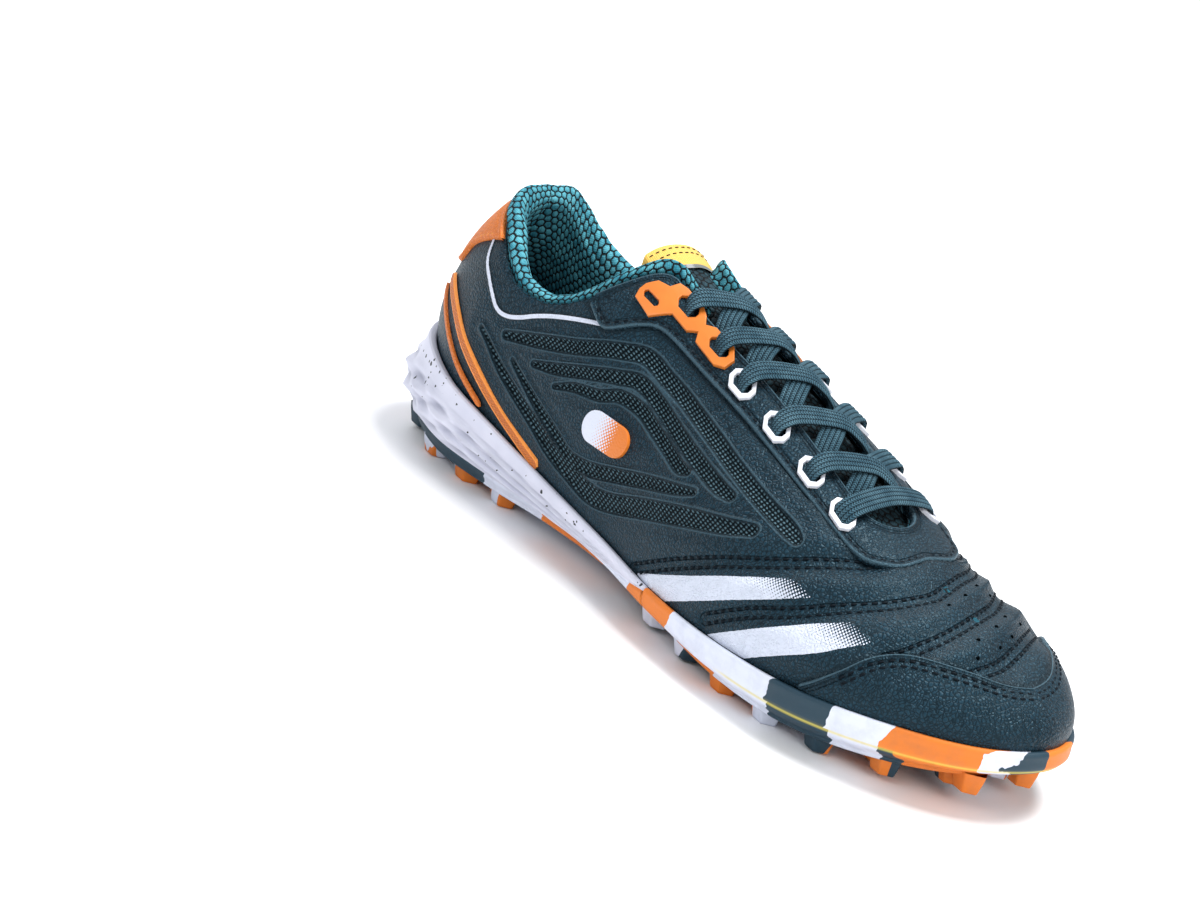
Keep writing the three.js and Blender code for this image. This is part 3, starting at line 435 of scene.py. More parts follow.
def features(p, q, w):
    """Distances to the features for points near the surface, and their relief in millimetres."""
    band = nearest(p, *zip(*BAND_LINES))
    pipe = nearest(p, PIPE_LINES)
    seam = nearest(p, [pts for pts, _ in SEAM_LINES])
    between = np.minimum.reduce([distance(p, wide) + distance(p, thin) for wide, thin in STRIPE_LINES])
    lift = -BAND_DEPTH * smooth(-band, -0.1, 0.7)
    lift += BAND_LIP * np.exp(-((band - 1.2) / 0.6) ** 2)
    lift += BAND_SWELL * smooth(band, 1.5, 6.0) * smooth(-band, -12, -5)
    lift += PIPE_HEIGHT * smooth(-pipe, -0.95, -0.45)
    front = smooth(q, 5.8, 7.6)
    puff = smooth(seam, 1.8, 8.0) * front * smooth(-np.abs(w), -0.98, -0.75)
    lift += PUFF_HEIGHT * puff - GROOVE_DEPTH * np.exp(-(seam / 2.4) ** 2)
    lift += UNEVEN * wobble(p, 30, 3) * smooth(band, 0, 3) * (1 - 0.6 * front)
    return {"band": band, "pipe": pipe, "seam": seam, "between": between, "lift": lift}


def flash_fields(q, w):
    """Signed distance to the flashes (negative inside) and how solid they are there."""
    best = np.full(len(q), FAR)
    solid = np.zeros(len(q))
    n = 240
    for side in SIDES:
        for upper, lower, start in FLASHES:
            a, b = catmull(upper, n), catmull(lower, n)
            near = np.nonzero((w * side > 0.45) & (q > 5.2) & (q < 9.0))[0]
            x, y = q[near], w[near] * side
            cross = (b[:, 0] - a[:, 0]) * (y[:, None] - a[:, 1])
            cross = cross - (b[:, 1] - a[:, 1]) * (x[:, None] - a[:, 0])
            change = cross[:, :-1] * cross[:, 1:] <= 0
            found = change.any(1)
            k = change.argmax(1)
            gap = b[k] - a[k]
            t = ((x - a[k, 0]) * gap[:, 0] + (y - a[k, 1]) * gap[:, 1]) / (gap ** 2).sum(1)
            pa, pb = at(a[:, 0], side * a[:, 1]), at(b[:, 0], side * b[:, 1])
            wide = np.linalg.norm(pa - pb, axis=1)[k]
            off = np.where(found, (np.abs(t - 0.5) - 0.5) * wide, FAR)
            f = 1 - np.clip((k / (n - 1) - start) / (1 - start), 0, 1)
            take = off < best[near]
            best[near[take]] = off[take]
            solid[near[take]] = f[take]
    return best, solid


# Meshes
def grid_faces(nu, nv, closed=False):
    i, k = np.meshgrid(np.arange(nu - 1), np.arange(nv if closed else nv - 1), indexing="ij")
    i, k = i.ravel(), k.ravel()
    i2, k2 = (i + 1) % nu, (k + 1) % nv
    return np.stack([i * nv + k, i2 * nv + k, i2 * nv + k2, i * nv + k2], -1)


def build(name, points, faces, look, slot, node=None, flat=None, smooth_shade=True, **values):
    """Piece in the frame from points in millimetres of the last; flat and the values are attributes."""
    mesh = bpy.data.meshes.new(name)
    pts = (np.asarray(points) + SHIFT) / 1000
    rings = [list(dict.fromkeys(f)) for f in (faces.tolist() if isinstance(faces, np.ndarray) else faces)]
    mesh.from_pydata(pts.tolist(), [], [ring for ring in rings if len(ring) > 2])
    mesh.materials.append(look)
    mesh.polygons.foreach_set("use_smooth", [smooth_shade] * len(mesh.polygons))
    kinds = {key: ("FLOAT", "value", v) for key, v in values.items()}
    if flat is not None:
        kinds["flat"] = ("FLOAT_VECTOR", "vector", flat)
    for key, (kind, part, v) in kinds.items():
        data = mesh.attributes.new(key, kind, "POINT").data
        data.foreach_set(part, np.asarray(v, dtype=np.float32).ravel())
    mesh.update()
    obj = bpy.data.objects.new(name, mesh)
    bpy.context.scene.collection.objects.link(obj)
    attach(obj, "root")
    if node:
        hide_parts(node)
    return obj


def cleaned(obj, weld=False):
    """Turns the faces outwards; with weld, points in one place become one."""
    bm = bmesh.new()
    bm.from_mesh(obj.data)
    if weld:
        bmesh.ops.remove_doubles(bm, verts=bm.verts, dist=2e-6)
    bmesh.ops.recalc_face_normals(bm, faces=bm.faces)
    bm.to_mesh(obj.data)
    bm.free()


def taken_out(bm):
    """Points and faces of a finished bmesh."""
    points = np.array([v.co[:] for v in bm.verts])
    index = {v: i for i, v in enumerate(bm.verts)}
    faces = [[index[v] for v in f.verts] for f in bm.faces]
    bm.free()
    return points, faces


def tube_faces(loops, count):
    """Faces of a row of closed loops with both ends capped."""
    faces = grid_faces(loops, count, True).tolist()
    faces.append(list(range(count))[::-1])
    faces.append([(loops - 1) * count + k for k in range(count)])
    return faces


def rolled_out(along_it, across_it):
    """Flat coordinates of a grid from its two rows of lengths."""
    u = np.repeat(along_it[:, None], len(across_it), 1)
    v = np.tile(across_it, (len(along_it), 1))
    return np.stack([u, v, 0 * u], -1).reshape(-1, 3)


def joined(parts):
    """One list of faces, and one array of each other kind, from parts that begin with points and faces."""
    faces, count = [], 0
    for points, part_faces, *_ in parts:
        faces += [[i + count for i in face] for face in part_faces]
        count += len(points)
    points, _, *others = zip(*parts)
    return [np.concatenate(points), faces] + [np.concatenate(v) for v in others]


def halves(parts):
    """The outer half's and the inner half's grids as one; the inner faces are turned."""
    rows = []
    for n, (grid, *values) in enumerate(parts):
        faces = grid_faces(*grid.shape[:2])
        rows.append((grid.reshape(-1, 3), faces[:, ::-1] if n else faces) + tuple(v.ravel() for v in values))
    return joined(rows)


def welded(keys, faces, *arrays):
    """Vertices with one key become one."""
    _, first, inverse = np.unique(keys, axis=0, return_index=True, return_inverse=True)
    inverse = inverse.ravel()
    return inverse[faces], [a[first] for a in arrays]


def two_sided(stations, low, high, rows):
    """Knots (q, w) on both sides of the centreline between |w| = low and |w| = high, with faces."""
    q = np.repeat(stations[:, None], len(rows), 1)
    faces = grid_faces(*q.shape)
    parts = []
    for side in SIDES:
        lo, hi = low(stations, side)[:, None], high(stations, side)[:, None]
        parts.append(np.stack([q, side * mix(lo, hi, rows[None, :])], -1).reshape(-1, 2))
    return np.concatenate(parts), np.concatenate([faces, faces[:, ::-1] + q.size]), q.shape


def knot_keys(knots):
    q, w = knots[:, 0], knots[:, 1]
    end = (q < 1e-6) | (q > LAST_ROW - 1e-6)
    w = np.where(end, -np.abs(w), w)
    return np.stack([np.round(q * 1e5), np.round(w * 1e5)], -1).astype(np.int64)


def flat_coordinates(p, shape, q_row):
    """Nearly true millimetres over each side's grid: along the shoe and up from the sole line."""
    out = []
    for part in p.reshape((2,) + shape + (3,)):
        du = np.linalg.norm(np.diff(part, axis=0), axis=2)
        u = np.concatenate([np.zeros((1, shape[1])), np.cumsum(du, axis=0)])
        u = u - u[np.argmin(np.abs(q_row - 5))][None, :]
        dv = np.linalg.norm(np.diff(part, axis=1), axis=2)
        v = np.concatenate([np.zeros((shape[0], 1)), np.cumsum(dv, axis=1)], 1)
        out.append(np.stack([u, v, np.zeros_like(u)], -1).reshape(-1, 3))
    return np.concatenate(out)


def even_stations(a, b, step, w, extra=()):
    """Stations between a and b whose points at |w| lie step millimetres apart."""
    q = np.linspace(a, b, 1500)
    d = lengths(at(q, -w * np.ones_like(q)))
    n = max(3, int(round(d[-1] / step * FINE)) + 1)
    s = np.interp(np.linspace(0, d[-1], n), d, q)
    s[0], s[-1] = a, b
    return np.unique(np.round(np.concatenate([s, np.asarray(extra, float)]), 6))


# Materials
class Shader:
    """Short ways to put nodes together; a value is a number, a colour or a socket."""

    def __init__(self, name):
        self.mat = bpy.data.materials.new(name)
        self.mat.use_nodes = True
        self.tree = self.mat.node_tree
        self.tree.nodes.clear()
        out = self.tree.nodes.new("ShaderNodeOutputMaterial")
        self.bsdf = self.tree.nodes.new("ShaderNodeBsdfPrincipled")
        self.tree.links.new(self.bsdf.outputs[0], out.inputs[0])

    def put(self, socket, value):
        if isinstance(value, bpy.types.NodeSocket):
            self.tree.links.new(value, socket)
        elif isinstance(value, tuple) and len(value) == 3 and socket.type == "RGBA":
            socket.default_value = value + (1,)
        else:
            socket.default_value = value

    def node(self, kind, inputs, out=0, **props):
        n = self.tree.nodes.new(kind)
        for key, value in props.items():
            setattr(n, key, value)
        for key, value in inputs.items():
            self.put(n.inputs[key], value)
        return n.outputs[out]

    def math(self, op, a, b=0.0, c=0.0):
        return self.node("ShaderNodeMath", {0: a, 1: b, 2: c}, operation=op)

    def mul(self, a, b):
        return self.math("MULTIPLY", a, b)

    def add(self, a, b):
        return self.math("ADD", a, b)

    def sub(self, a, b):
        return self.math("SUBTRACT", a, b)

    def less(self, a, b):
        return self.math("LESS_THAN", a, b)

    def more(self, a, b):
        return self.math("GREATER_THAN", a, b)

    def size(self, a):
        return self.math("ABSOLUTE", a)

    def xyz(self, vector):
        return self.node("ShaderNodeSeparateXYZ", {"Vector": vector}).node.outputs

    def painted(self, color, paint, share, strength):
        """Paint over the colour where the share is high."""
        return self.mix(self.mul(share, strength), color, paint)

    def shaken(self, vector, reach, scale, **more):
        """The vector moved about by coloured noise."""
        warp = self.node("ShaderNodeTexNoise", {"Vector": vector, "Scale": scale, **more}, "Color")
        return self.node("ShaderNodeVectorMath", {0: vector, 1: self.scaled(warp, reach)}, operation="ADD")

    def attr(self, name, out="Fac"):
        return self.node("ShaderNodeAttribute", {}, out, attribute_name=name)

    def place(self):
        return self.node("ShaderNodeTexCoord", {}, "Object")

    def scaled(self, vector, scale, turn=0.0, move=(0, 0, 0)):
        return self.node("ShaderNodeMapping", {
            "Vector": vector, "Scale": (scale,) * 3 if isinstance(scale, (int, float)) else scale,
            "Rotation": (0, 0, turn), "Location": move})

    def step(self, x, a, b, low=0.0, high=1.0):
        return self.node("ShaderNodeMapRange", {
            "Value": x, "From Min": a, "From Max": b, "To Min": low, "To Max": high}, clamp=True)

    def mix(self, f, a, b, blend="MIX"):
        n = self.tree.nodes.new("ShaderNodeMix")
        n.data_type = "RGBA"
        n.blend_type = blend
        self.put(n.inputs[0], f)
        self.put(n.inputs[6], a)
        self.put(n.inputs[7], b)
        return n.outputs[2]

    def noise(self, vector, scale, detail=3.0, rough=0.5):
        return self.node("ShaderNodeTexNoise", {
            "Vector": vector, "Scale": scale, "Detail": detail, "Roughness": rough})

    def cells(self, vector, scale, feature="F1", out="Distance", jitter=1.0):
        return self.node("ShaderNodeTexVoronoi", {
            "Vector": vector, "Scale": scale, "Randomness": jitter}, out, feature=feature)

    def bump(self, height, depth, strength=1.0, normal=None):
        inputs = {"Height": height, "Distance": depth, "Strength": strength}
        if normal is not None:
            inputs["Normal"] = normal
        return self.node("ShaderNodeBump", inputs)

    def dots(self, vector, pitch, turn=0.0):
        """Distance from the middle of the nearest dot in a square lattice, in shares of the pitch."""
        x, y, _ = self.xyz(self.scaled(vector, 1 / pitch, turn))
        dx = self.sub(self.math("FRACT", x), 0.5)
        dy = self.sub(self.math("FRACT", y), 0.5)
        return self.math("SQRT", self.add(self.mul(dx, dx), self.mul(dy, dy)))

    def honeycomb(self, vector, pitch):
        """Zero at the middle of a cell, one on its border."""
        x, y, _ = self.xyz(self.scaled(vector, 1 / pitch))
        root = math.sqrt(3)

        def cell(dx, dy):
            px = self.sub(self.math("WRAP", self.add(x, dx), 1.0, 0.0), 0.5)
            py = self.sub(self.math("WRAP", self.add(y, dy), root, 0.0), root / 2)
            ax, ay = self.size(px), self.size(py)
            slant = self.add(self.mul(ax, 0.5), self.mul(ay, root / 2))
            return self.math("MAXIMUM", ax, slant)

        return self.mul(self.math("MINIMUM", cell(0.0, 0.0), cell(0.5, root / 2)), 2.0)

    def set(self, **values):
        names = {"color": "Base Color", "rough": "Roughness", "normal": "Normal",
                 "coat": "Coat Weight", "coat_rough": "Coat Roughness", "sheen": "Sheen Weight",
                 "spec": "Specular IOR Level", "tint": "Specular Tint", "sheen_rough": "Sheen Roughness"}
        for key, value in values.items():
            self.put(self.bsdf.inputs[names[key]], value)
        return self.mat


def rgb(r, g, b):
    """Linear colour from the eight-bit values seen."""
    return tuple(((v / 255 + 0.055) / 1.055) ** 2.4 if v > 10 else v / 255 / 12.92 for v in (r, g, b))


TEAL = rgb(17, 38, 50)
# Light teal used for the painted highlights on raised edges.
TEAL_PAINTED_HIGHLIGHT = rgb(70, 94, 106)
TEAL_DARK = rgb(7, 15, 21)
ORANGE = rgb(214, 116, 36)
ORANGE_DEEP = rgb(160, 76, 20)
WHITE = rgb(208, 213, 228)
YELLOW = rgb(216, 172, 66)
GLOSS_TINT = (0.34, 0.62, 0.78)
LEATHER_GLOSS = 0.38
# Turn of the printed dots
DIAGONAL = 0.785


def grain(s, depth=0.0002):
    """Pebble grain of the leather: normal and height."""
    p = s.place()
    a = s.cells(s.shaken(p, 0.0012, 500.0, Detail=1.0), 820, "DISTANCE_TO_EDGE")
    b = s.noise(p, 1300, 2.0)
    c = s.node("ShaderNodeMapRange", {"Value": a, "From Max": 0.34}, interpolation_type="SMOOTHSTEP")
    height = s.add(c, s.mul(b, 0.25))
    return s.bump(height, depth, 1.0), height


def ring(s, distance, at_mm, half):
    """One on the line at a distance from an edge, falling to zero half a width away."""
    off = s.size(s.sub(distance, at_mm))
    return s.step(off, half, half * 0.35)


def leather(name, features_on=True):
    s = Shader(name)
    p = s.place()
    normal, height = grain(s)
    tone = s.noise(p, 38, 4.0, 0.6)
    color = s.mix(s.step(tone, 0.35, 0.7), TEAL, rgb(25, 49, 62))
    # Painted shade: the grain's valleys are darkened towards dark teal.
    color = s.mix(s.step(height, 0.12, 0.7), TEAL_DARK, color)
    dust = s.noise(p, 210, 3.0, 0.7)
    color = s.mix(s.step(dust, 0.62, 0.8, 0.0, 0.14), color, rgb(64, 90, 104))
    rough = s.step(tone, 0.3, 0.75, 0.38, 0.5)
    if features_on:
        flat = s.attr("flat", "Vector")
        band, pipe, seam = s.attr("band"), s.attr("pipe"), s.attr("seam")
        # Painted shade in the sewn channels beside the seams; the same mask also sinks them in the bump
        # below.
        groove = ring(s, seam, 1.55, 0.75)
        color = s.painted(color, TEAL_DARK, groove, 0.35)
        color = s.mix(s.step(s.attr("between"), 7.9, 6.9, 0.0, 0.9), color, rgb(8, 13, 17))
        # Painted highlight: a light teal line along the raised lip round the recessed bands.
        rim = ring(s, band, 0.75, 0.55)
        color = s.painted(color, TEAL_PAINTED_HIGHLIGHT, rim, 0.42)
        # Painted shade where the leather drops into the recessed bands.
        color = s.painted(color, TEAL_DARK, ring(s, band, 0.1, 0.45), 0.75)
        # Painted shade on the skin along the borders of the overlays.
        color = s.painted(color, TEAL_DARK, ring(s, s.attr("under"), 0.55, 0.95), 0.8)
        dot = s.dots(s.scaled(flat, (1.0, 1.55, 1.0)), 1.7, 0.35)
        inside = s.step(band, 0.0, -0.25)
        weave = s.mix(s.step(dot, 0.42, 0.14), rgb(3, 8, 11), rgb(92, 120, 132))
        color = s.mix(inside, color, weave)
        shown = s.less(s.dots(flat, 0.95, DIAGONAL), s.mul(s.math("SQRT", s.attr("fade")), 0.8))
        ragged = s.add(s.attr("flash"), s.mul(s.sub(s.noise(p, 900, 2.0), 0.5), 0.5))
        shown = s.mul(shown, s.less(ragged, 0.0))
        color = s.mix(shown, color, s.mix(s.step(dust, 0.3, 0.7), WHITE, rgb(198, 204, 218)))
        color = s.mix(s.less(pipe, 0.72), color, WHITE)
        color = s.mix(ring(s, pipe, 1.0, 0.4), color, TEAL_DARK)
        knob = s.mul(s.step(dot, 0.44, 0.12), inside)
        normal = s.bump(s.mul(groove, -1.0), 0.0005, 1.0, normal)
        normal = s.bump(rim, 0.0006, 1.0, normal)
        normal = s.bump(knob, 0.0007, 1.0, normal)
        rough = s.add(rough, s.mul(inside, 0.12))
        gloss = s.step(inside, 0.0, 1.0, LEATHER_GLOSS, 0.12)
    else:
        gloss = LEATHER_GLOSS
        rim = s.attr("rim")
        # Painted highlight along the overlays' rounded edges.
        painted_edge_highlight = s.mul(s.step(rim, 1.1, 0.7), s.step(rim, 0.05, 0.3))
        color = s.painted(color, TEAL_PAINTED_HIGHLIGHT, painted_edge_highlight, 0.7)
        # Painted shade in the stitch channel and in a thin line behind the edge welt.
        groove = s.math("MAXIMUM", ring(s, rim, 2.5, 0.75), s.mul(ring(s, rim, 1.4, 0.5), 0.5))
        color = s.painted(color, TEAL_DARK, groove, 0.45)
        normal = s.bump(s.mul(groove, -1.0), 0.0005, 1.0, normal)
    return s.set(color=color, rough=rough, normal=normal, spec=gloss, tint=GLOSS_TINT)


def orange_leather(name, pattern=False):
    s = Shader(name)
    p = s.place()
    normal, height = grain(s, 0.00018)
    tone = s.noise(p, 60, 4.0, 0.6)
    color = s.mix(s.step(tone, 0.3, 0.75), ORANGE, rgb(200, 106, 32))
    # Painted shade: the grain's valleys are darkened towards deep orange.
    color = s.mix(s.step(height, 0.15, 0.5, 0.45, 0.0), color, ORANGE_DEEP)
    if pattern:
        flat = s.attr("flat", "Vector")
        across = s.size(s.xyz(flat)[1])
        dot = s.dots(flat, 0.75, 0.6)
        middle = s.step(across, 1.1, 0.95)
        color = s.mix(s.step(across, 1.3, 1.15), rgb(238, 146, 62), color)
        color = s.painted(color, rgb(128, 70, 30), middle, s.step(dot, 0.42, 0.25, 0.0, 0.75))
        color = s.painted(color, rgb(178, 98, 40), middle, 0.3)
    return s.set(color=color, rough=0.5, normal=normal, spec=0.35)


def knit(name, pitch, base, light, line, depth):
    """Mesh cloth with puffed cells between dark lines."""
    s = Shader(name)
    flat = s.attr("flat", "Vector")
    h = s.honeycomb(s.shaken(flat, pitch * 0.4, 0.22, Detail=1.0), pitch)
    tone = s.noise(s.place(), 240, 2.0, 0.6)
    thread = s.dots(flat, pitch / 5.5, 0.5)
    color = s.mix(s.step(tone, 0.3, 0.7), base, light)
    color = s.mix(s.step(thread, 0.15, 0.5, 0.0, 0.55), color, line)
    color = s.mix(s.step(h, 0.72, 0.86), color, line)
    puffed = s.sub(1.0, s.math("POWER", h, 3.0))
    normal = s.bump(s.sub(puffed, s.mul(thread, 0.18)), depth, 0.9)
    return s.set(color=color, rough=0.82, normal=normal, spec=0.25)


def cloth(name, a, b):
    s = Shader(name)
    p = s.place()
    fuzz = s.noise(p, 2200, 2.0, 0.7)
    tone = s.noise(p, 50, 3.0)
    color = s.mix(s.step(tone, 0.3, 0.7), a, b)
    color = s.mix(s.step(fuzz, 0.3, 0.7, 0.3, 0.0), color, (0.004, 0.006, 0.008))
    return s.set(color=color, rough=0.9, normal=s.bump(fuzz, 0.0003, 0.6), sheen=0.3, sheen_rough=0.6)


def lace_cloth(name):
    s = Shader(name)
    u, v, _ = s.xyz(s.attr("flat", "Vector"))
    slant = s.mul(s.math("PINGPONG", v, 0.5), 1.6)
    turn = s.add(s.mul(u, 1.15), slant)
    knot = s.size(s.math("SINE", s.mul(turn, math.pi)))
    tone = s.noise(s.place(), 160, 3.0, 0.6)
    shadow = rgb(6, 13, 18)
    color = s.mix(s.step(tone, 0.3, 0.7), rgb(52, 82, 97), rgb(86, 118, 132))
    color = s.mix(s.step(knot, 0.05, 0.6, 0.9, 0.0), color, shadow)
    color = s.mix(s.attr("rib"), shadow, color)
    return s.set(color=color, rough=0.75, normal=s.bump(knot, 0.0005, 1.0), spec=0.25, tint=GLOSS_TINT)


def foam(name):
    s = Shader(name)
    p = s.place()
    tone = s.noise(p, 70, 3.0)
    color = s.mix(s.step(tone, 0.3, 0.75), rgb(210, 211, 225), rgb(196, 198, 214))
    # Specks in three sizes, more of them near the upper
    height = s.step(s.attr("level"), 0.2, 0.95, 0.05, 0.28)
    often = s.mul(height, s.step(s.noise(p, 26, 2.0), 0.4, 0.6, 0.3, 1.6))
    warp = s.scaled(s.node("ShaderNodeTexNoise", {"Vector": p, "Scale": 700.0}, "Color"), 0.0012)
    for scale, size, seed in ((520, 0.2, 0.0), (300, 0.17, 3.1), (170, 0.12, 5.3)):
        q = s.node("ShaderNodeMapping", {"Vector": p, "Location": (seed, seed, 0)})
        warped = s.node("ShaderNodeVectorMath", {0: q, 1: warp}, operation="ADD")
        pick = s.node("ShaderNodeSeparateColor", {"Color": s.cells(warped, scale, out="Color")})
        spot = s.mul(s.less(s.cells(warped, scale), size), s.less(pick, often))
        color = s.mix(spot, color, rgb(28, 30, 38))
    dirt = s.noise(p, 34, 4.0, 0.65)
    color = s.mix(s.step(dirt, 0.55, 0.8, 0.0, 0.18), color, rgb(150, 148, 150))
    # Painted shade in the hollows of the ribs and facets.
    color = s.mix(s.step(s.attr("relief"), 0.1, -1.3, 0.0, 0.55), color, rgb(122, 126, 146))
    return s.set(color=color, rough=0.55, normal=s.bump(s.noise(p, 900, 2.0), 0.00008, 0.5))


# Patches along the outsole's side, above and below the foam's edge: start in millimetres, colour
UPPER_PATCHES = [
    (-20, "o"), (12, "t"), (64, "w"), (151, "o"), (174, "w"), (222, "t"), (244, "w"), (259, "o"),
    (282, "w"), (286, "t"),
]
LOWER_PATCHES = [
    (-20, "o"), (14, "t"), (66, "w"), (96, "o"), (130, "t"), (148, "o"), (163, "w"), (177, "o"),
    (198, "w"), (224, "t"), (245, "w"), (259, "t"), (263, "o"), (282, "w"), (286, "t"),
]
# Half the length that the patches cover, in metres
PATCH_REACH = 0.16


def rubber(name):
    s = Shader(name)
    p = s.place()
    colors = {"o": ORANGE, "w": WHITE, "t": rgb(27, 54, 68)}
    warp = s.node("ShaderNodeTexNoise", {"Vector": p, "Scale": 75.0, "Detail": 3.0, "Roughness": 0.6})
    x, y, z = s.xyz(p)
    slant = s.add(s.add(x, 0.005), s.mul(z, -0.25))
    shaken = s.add(slant, s.mul(s.sub(warp, 0.5), 0.01))
    # The inner side's patches lie a little further back
    inner_side = s.mul(s.step(y, -0.002, 0.002), 0.034)
    share = s.step(s.add(shaken, inner_side), -PATCH_REACH, PATCH_REACH)

    def patches(table):
        n = s.tree.nodes.new("ShaderNodeValToRGB")
        ramp = n.color_ramp
        ramp.interpolation = "CONSTANT"
        for k, (start, key) in enumerate(table):
            spot = ((start + SHIFT[0]) / 1000 + PATCH_REACH) / (2 * PATCH_REACH)
            stop = ramp.elements[k] if k < 2 else ramp.elements.new(min(1.0, spot))
            stop.position = min(1.0, max(0.0, spot))
            stop.color = colors[key] + (1,)
        s.put(n.inputs[0], share)
        return n.outputs[0]

    side = s.mix(s.more(s.attr("level"), 0.5), patches(UPPER_PATCHES), patches(LOWER_PATCHES))
    flat = s.node("ShaderNodeCombineXYZ", {0: x, 1: y, 2: 0.0})
    blot = s.noise(flat, 26, 3.5, 0.55)
    blot2 = s.noise(s.scaled(flat, 1.0, 0.6, (0.3, 0.7, 0.0)), 30, 3.5, 0.55)
    tread = s.mix(s.more(blot, 0.53), colors["w"], colors["o"])
    tread = s.mix(s.more(blot2, 0.53), tread, colors["t"])
    tip = s.mul(s.more(x, 0.1405), s.more(y, 0.004))
    side = s.mix(tip, side, colors["o"])
    color = s.mix(s.more(s.attr("tread"), 0.5), side, tread)
    tone = s.noise(p, 140, 4.0, 0.6)
    color = s.mix(s.step(tone, 0.45, 0.8, 0.0, 0.22), color, rgb(70, 74, 78))
    color = s.mix(s.attr("yellow"), color, rgb(216, 200, 84))
    diagonal = s.math("PINGPONG", s.mul(s.add(x, y), 210), 0.5)
    other = s.math("PINGPONG", s.mul(s.sub(x, y), 210), 0.5)
    web = s.mul(s.step(s.math("MINIMUM", diagonal, other), 0.14, 0.03), s.attr("web"))
    normal = s.bump(s.noise(p, 800, 3.0), 0.0001, 0.5)
    normal = s.bump(web, 0.0009, 1.0, normal)
    return s.set(color=color, rough=0.55, normal=normal, spec=0.35)


def plastic(name, light, dark):
    s = Shader(name)
    p = s.place()
    tone = s.noise(p, 120, 3.0, 0.6)
    color = s.mix(s.step(tone, 0.35, 0.75), light, dark)
    normal = s.bump(s.noise(p, 1200, 2.0), 0.00004, 0.4)
    return s.set(color=color, rough=0.35, normal=normal, coat=0.1, coat_rough=0.3)


def patch_look(name):
    s = Shader(name)
    flat = s.attr("flat", "Vector")
    fade = s.step(s.xyz(flat)[0], 4.5, -7.0)
    shown = s.less(s.dots(flat, 1.0, DIAGONAL), s.mul(s.math("SQRT", fade), 0.72))
    color = s.mix(shown, ORANGE, WHITE)
    normal, _ = grain(s, 0.00006)
    return s.set(color=color, rough=0.36, normal=normal, coat=0.15, coat_rough=0.3)


def label_look(name):
    s = Shader(name)
    u, v, _ = s.xyz(s.attr("flat", "Vector"))
    weave = s.add(s.math("SINE", s.mul(u, 9.0)), s.math("SINE", s.mul(v, 9.0)))
    lower = s.more(u, 11.0)
    blob = s.noise(s.place(), 180, 2.5)
    plain = s.mix(s.step(blob, 0.42, 0.56), rgb(150, 158, 166), rgb(70, 88, 98))
    color = s.mix(lower, YELLOW, plain)
    color = s.mix(s.step(weave, -1.6, 0.6, 0.25, 0.0), color, rgb(190, 150, 60))
    return s.set(color=color, rough=0.6, normal=s.bump(weave, 0.00006, 0.6), sheen=0.2)


def thread_look(name, color, gloss=0.3):
    s = Shader(name)
    twist = s.noise(s.place(), 2600, 1.0)
    shade = s.mix(s.step(twist, 0.35, 0.65), color, tuple(0.45 * c for c in color))
    return s.set(color=shade, rough=0.6, normal=s.bump(twist, 0.0001, 0.5), spec=gloss)


UPPER_LOOK = leather("upper_leather")
PLAIN_LEATHER = leather("upper_leather_plain", False)
HEEL_LOOK = orange_leather("heel_orange")
STRIPE_LOOK = orange_leather("heel_stripe", True)
LINING_LOOK = knit("lining", 2.8, rgb(46, 136, 158), rgb(112, 202, 218), rgb(2, 11, 15), 0.0008)
TONGUE_LOOK = knit("tongue_mesh", 2.6, rgb(17, 36, 45), rgb(50, 86, 98), rgb(5, 10, 14), 0.0009)
INNER_LOOK = knit("inner_lining", 3.3, rgb(12, 66, 82), rgb(24, 100, 118), rgb(3, 14, 20), 0.0006)
INSOLE_LOOK = cloth("insole_cloth", rgb(44, 52, 58), rgb(58, 66, 72))
LACE_LOOK = lace_cloth("lace")
FOAM_LOOK = foam("midsole_foam")
RUBBER_LOOK = rubber("outsole_rubber")
PANEL_LOOK = plastic("eyelet_orange", rgb(206, 115, 40), rgb(194, 106, 35))
LOOP_LOOK = plastic("eyelet_white", rgb(228, 230, 238), rgb(205, 208, 218))
PATCH_LOOK = patch_look("patch_plain")
LABEL_LOOK = label_look("label")
THREAD_LOOK = thread_look("thread", rgb(12, 22, 30), 0.08)
# Near-black discs of the perforations: painted shade for the insides of the holes.
HOLE_LOOK = thread_look("perforation", rgb(4, 7, 9), 0.0)
THREAD_ORANGE = thread_look("thread_orange", rgb(240, 160, 70))
THREAD_BLACK = thread_look("thread_black", rgb(20, 20, 24), 0.1)


# Upper skin
def overlay_borders():
    lines = []
    for side in SIDES:
        lines += [cap_border(side), stay_border(side), tab_border(side)]
    return lines


def constant(value):
    return lambda q, side: np.full_like(q, value)


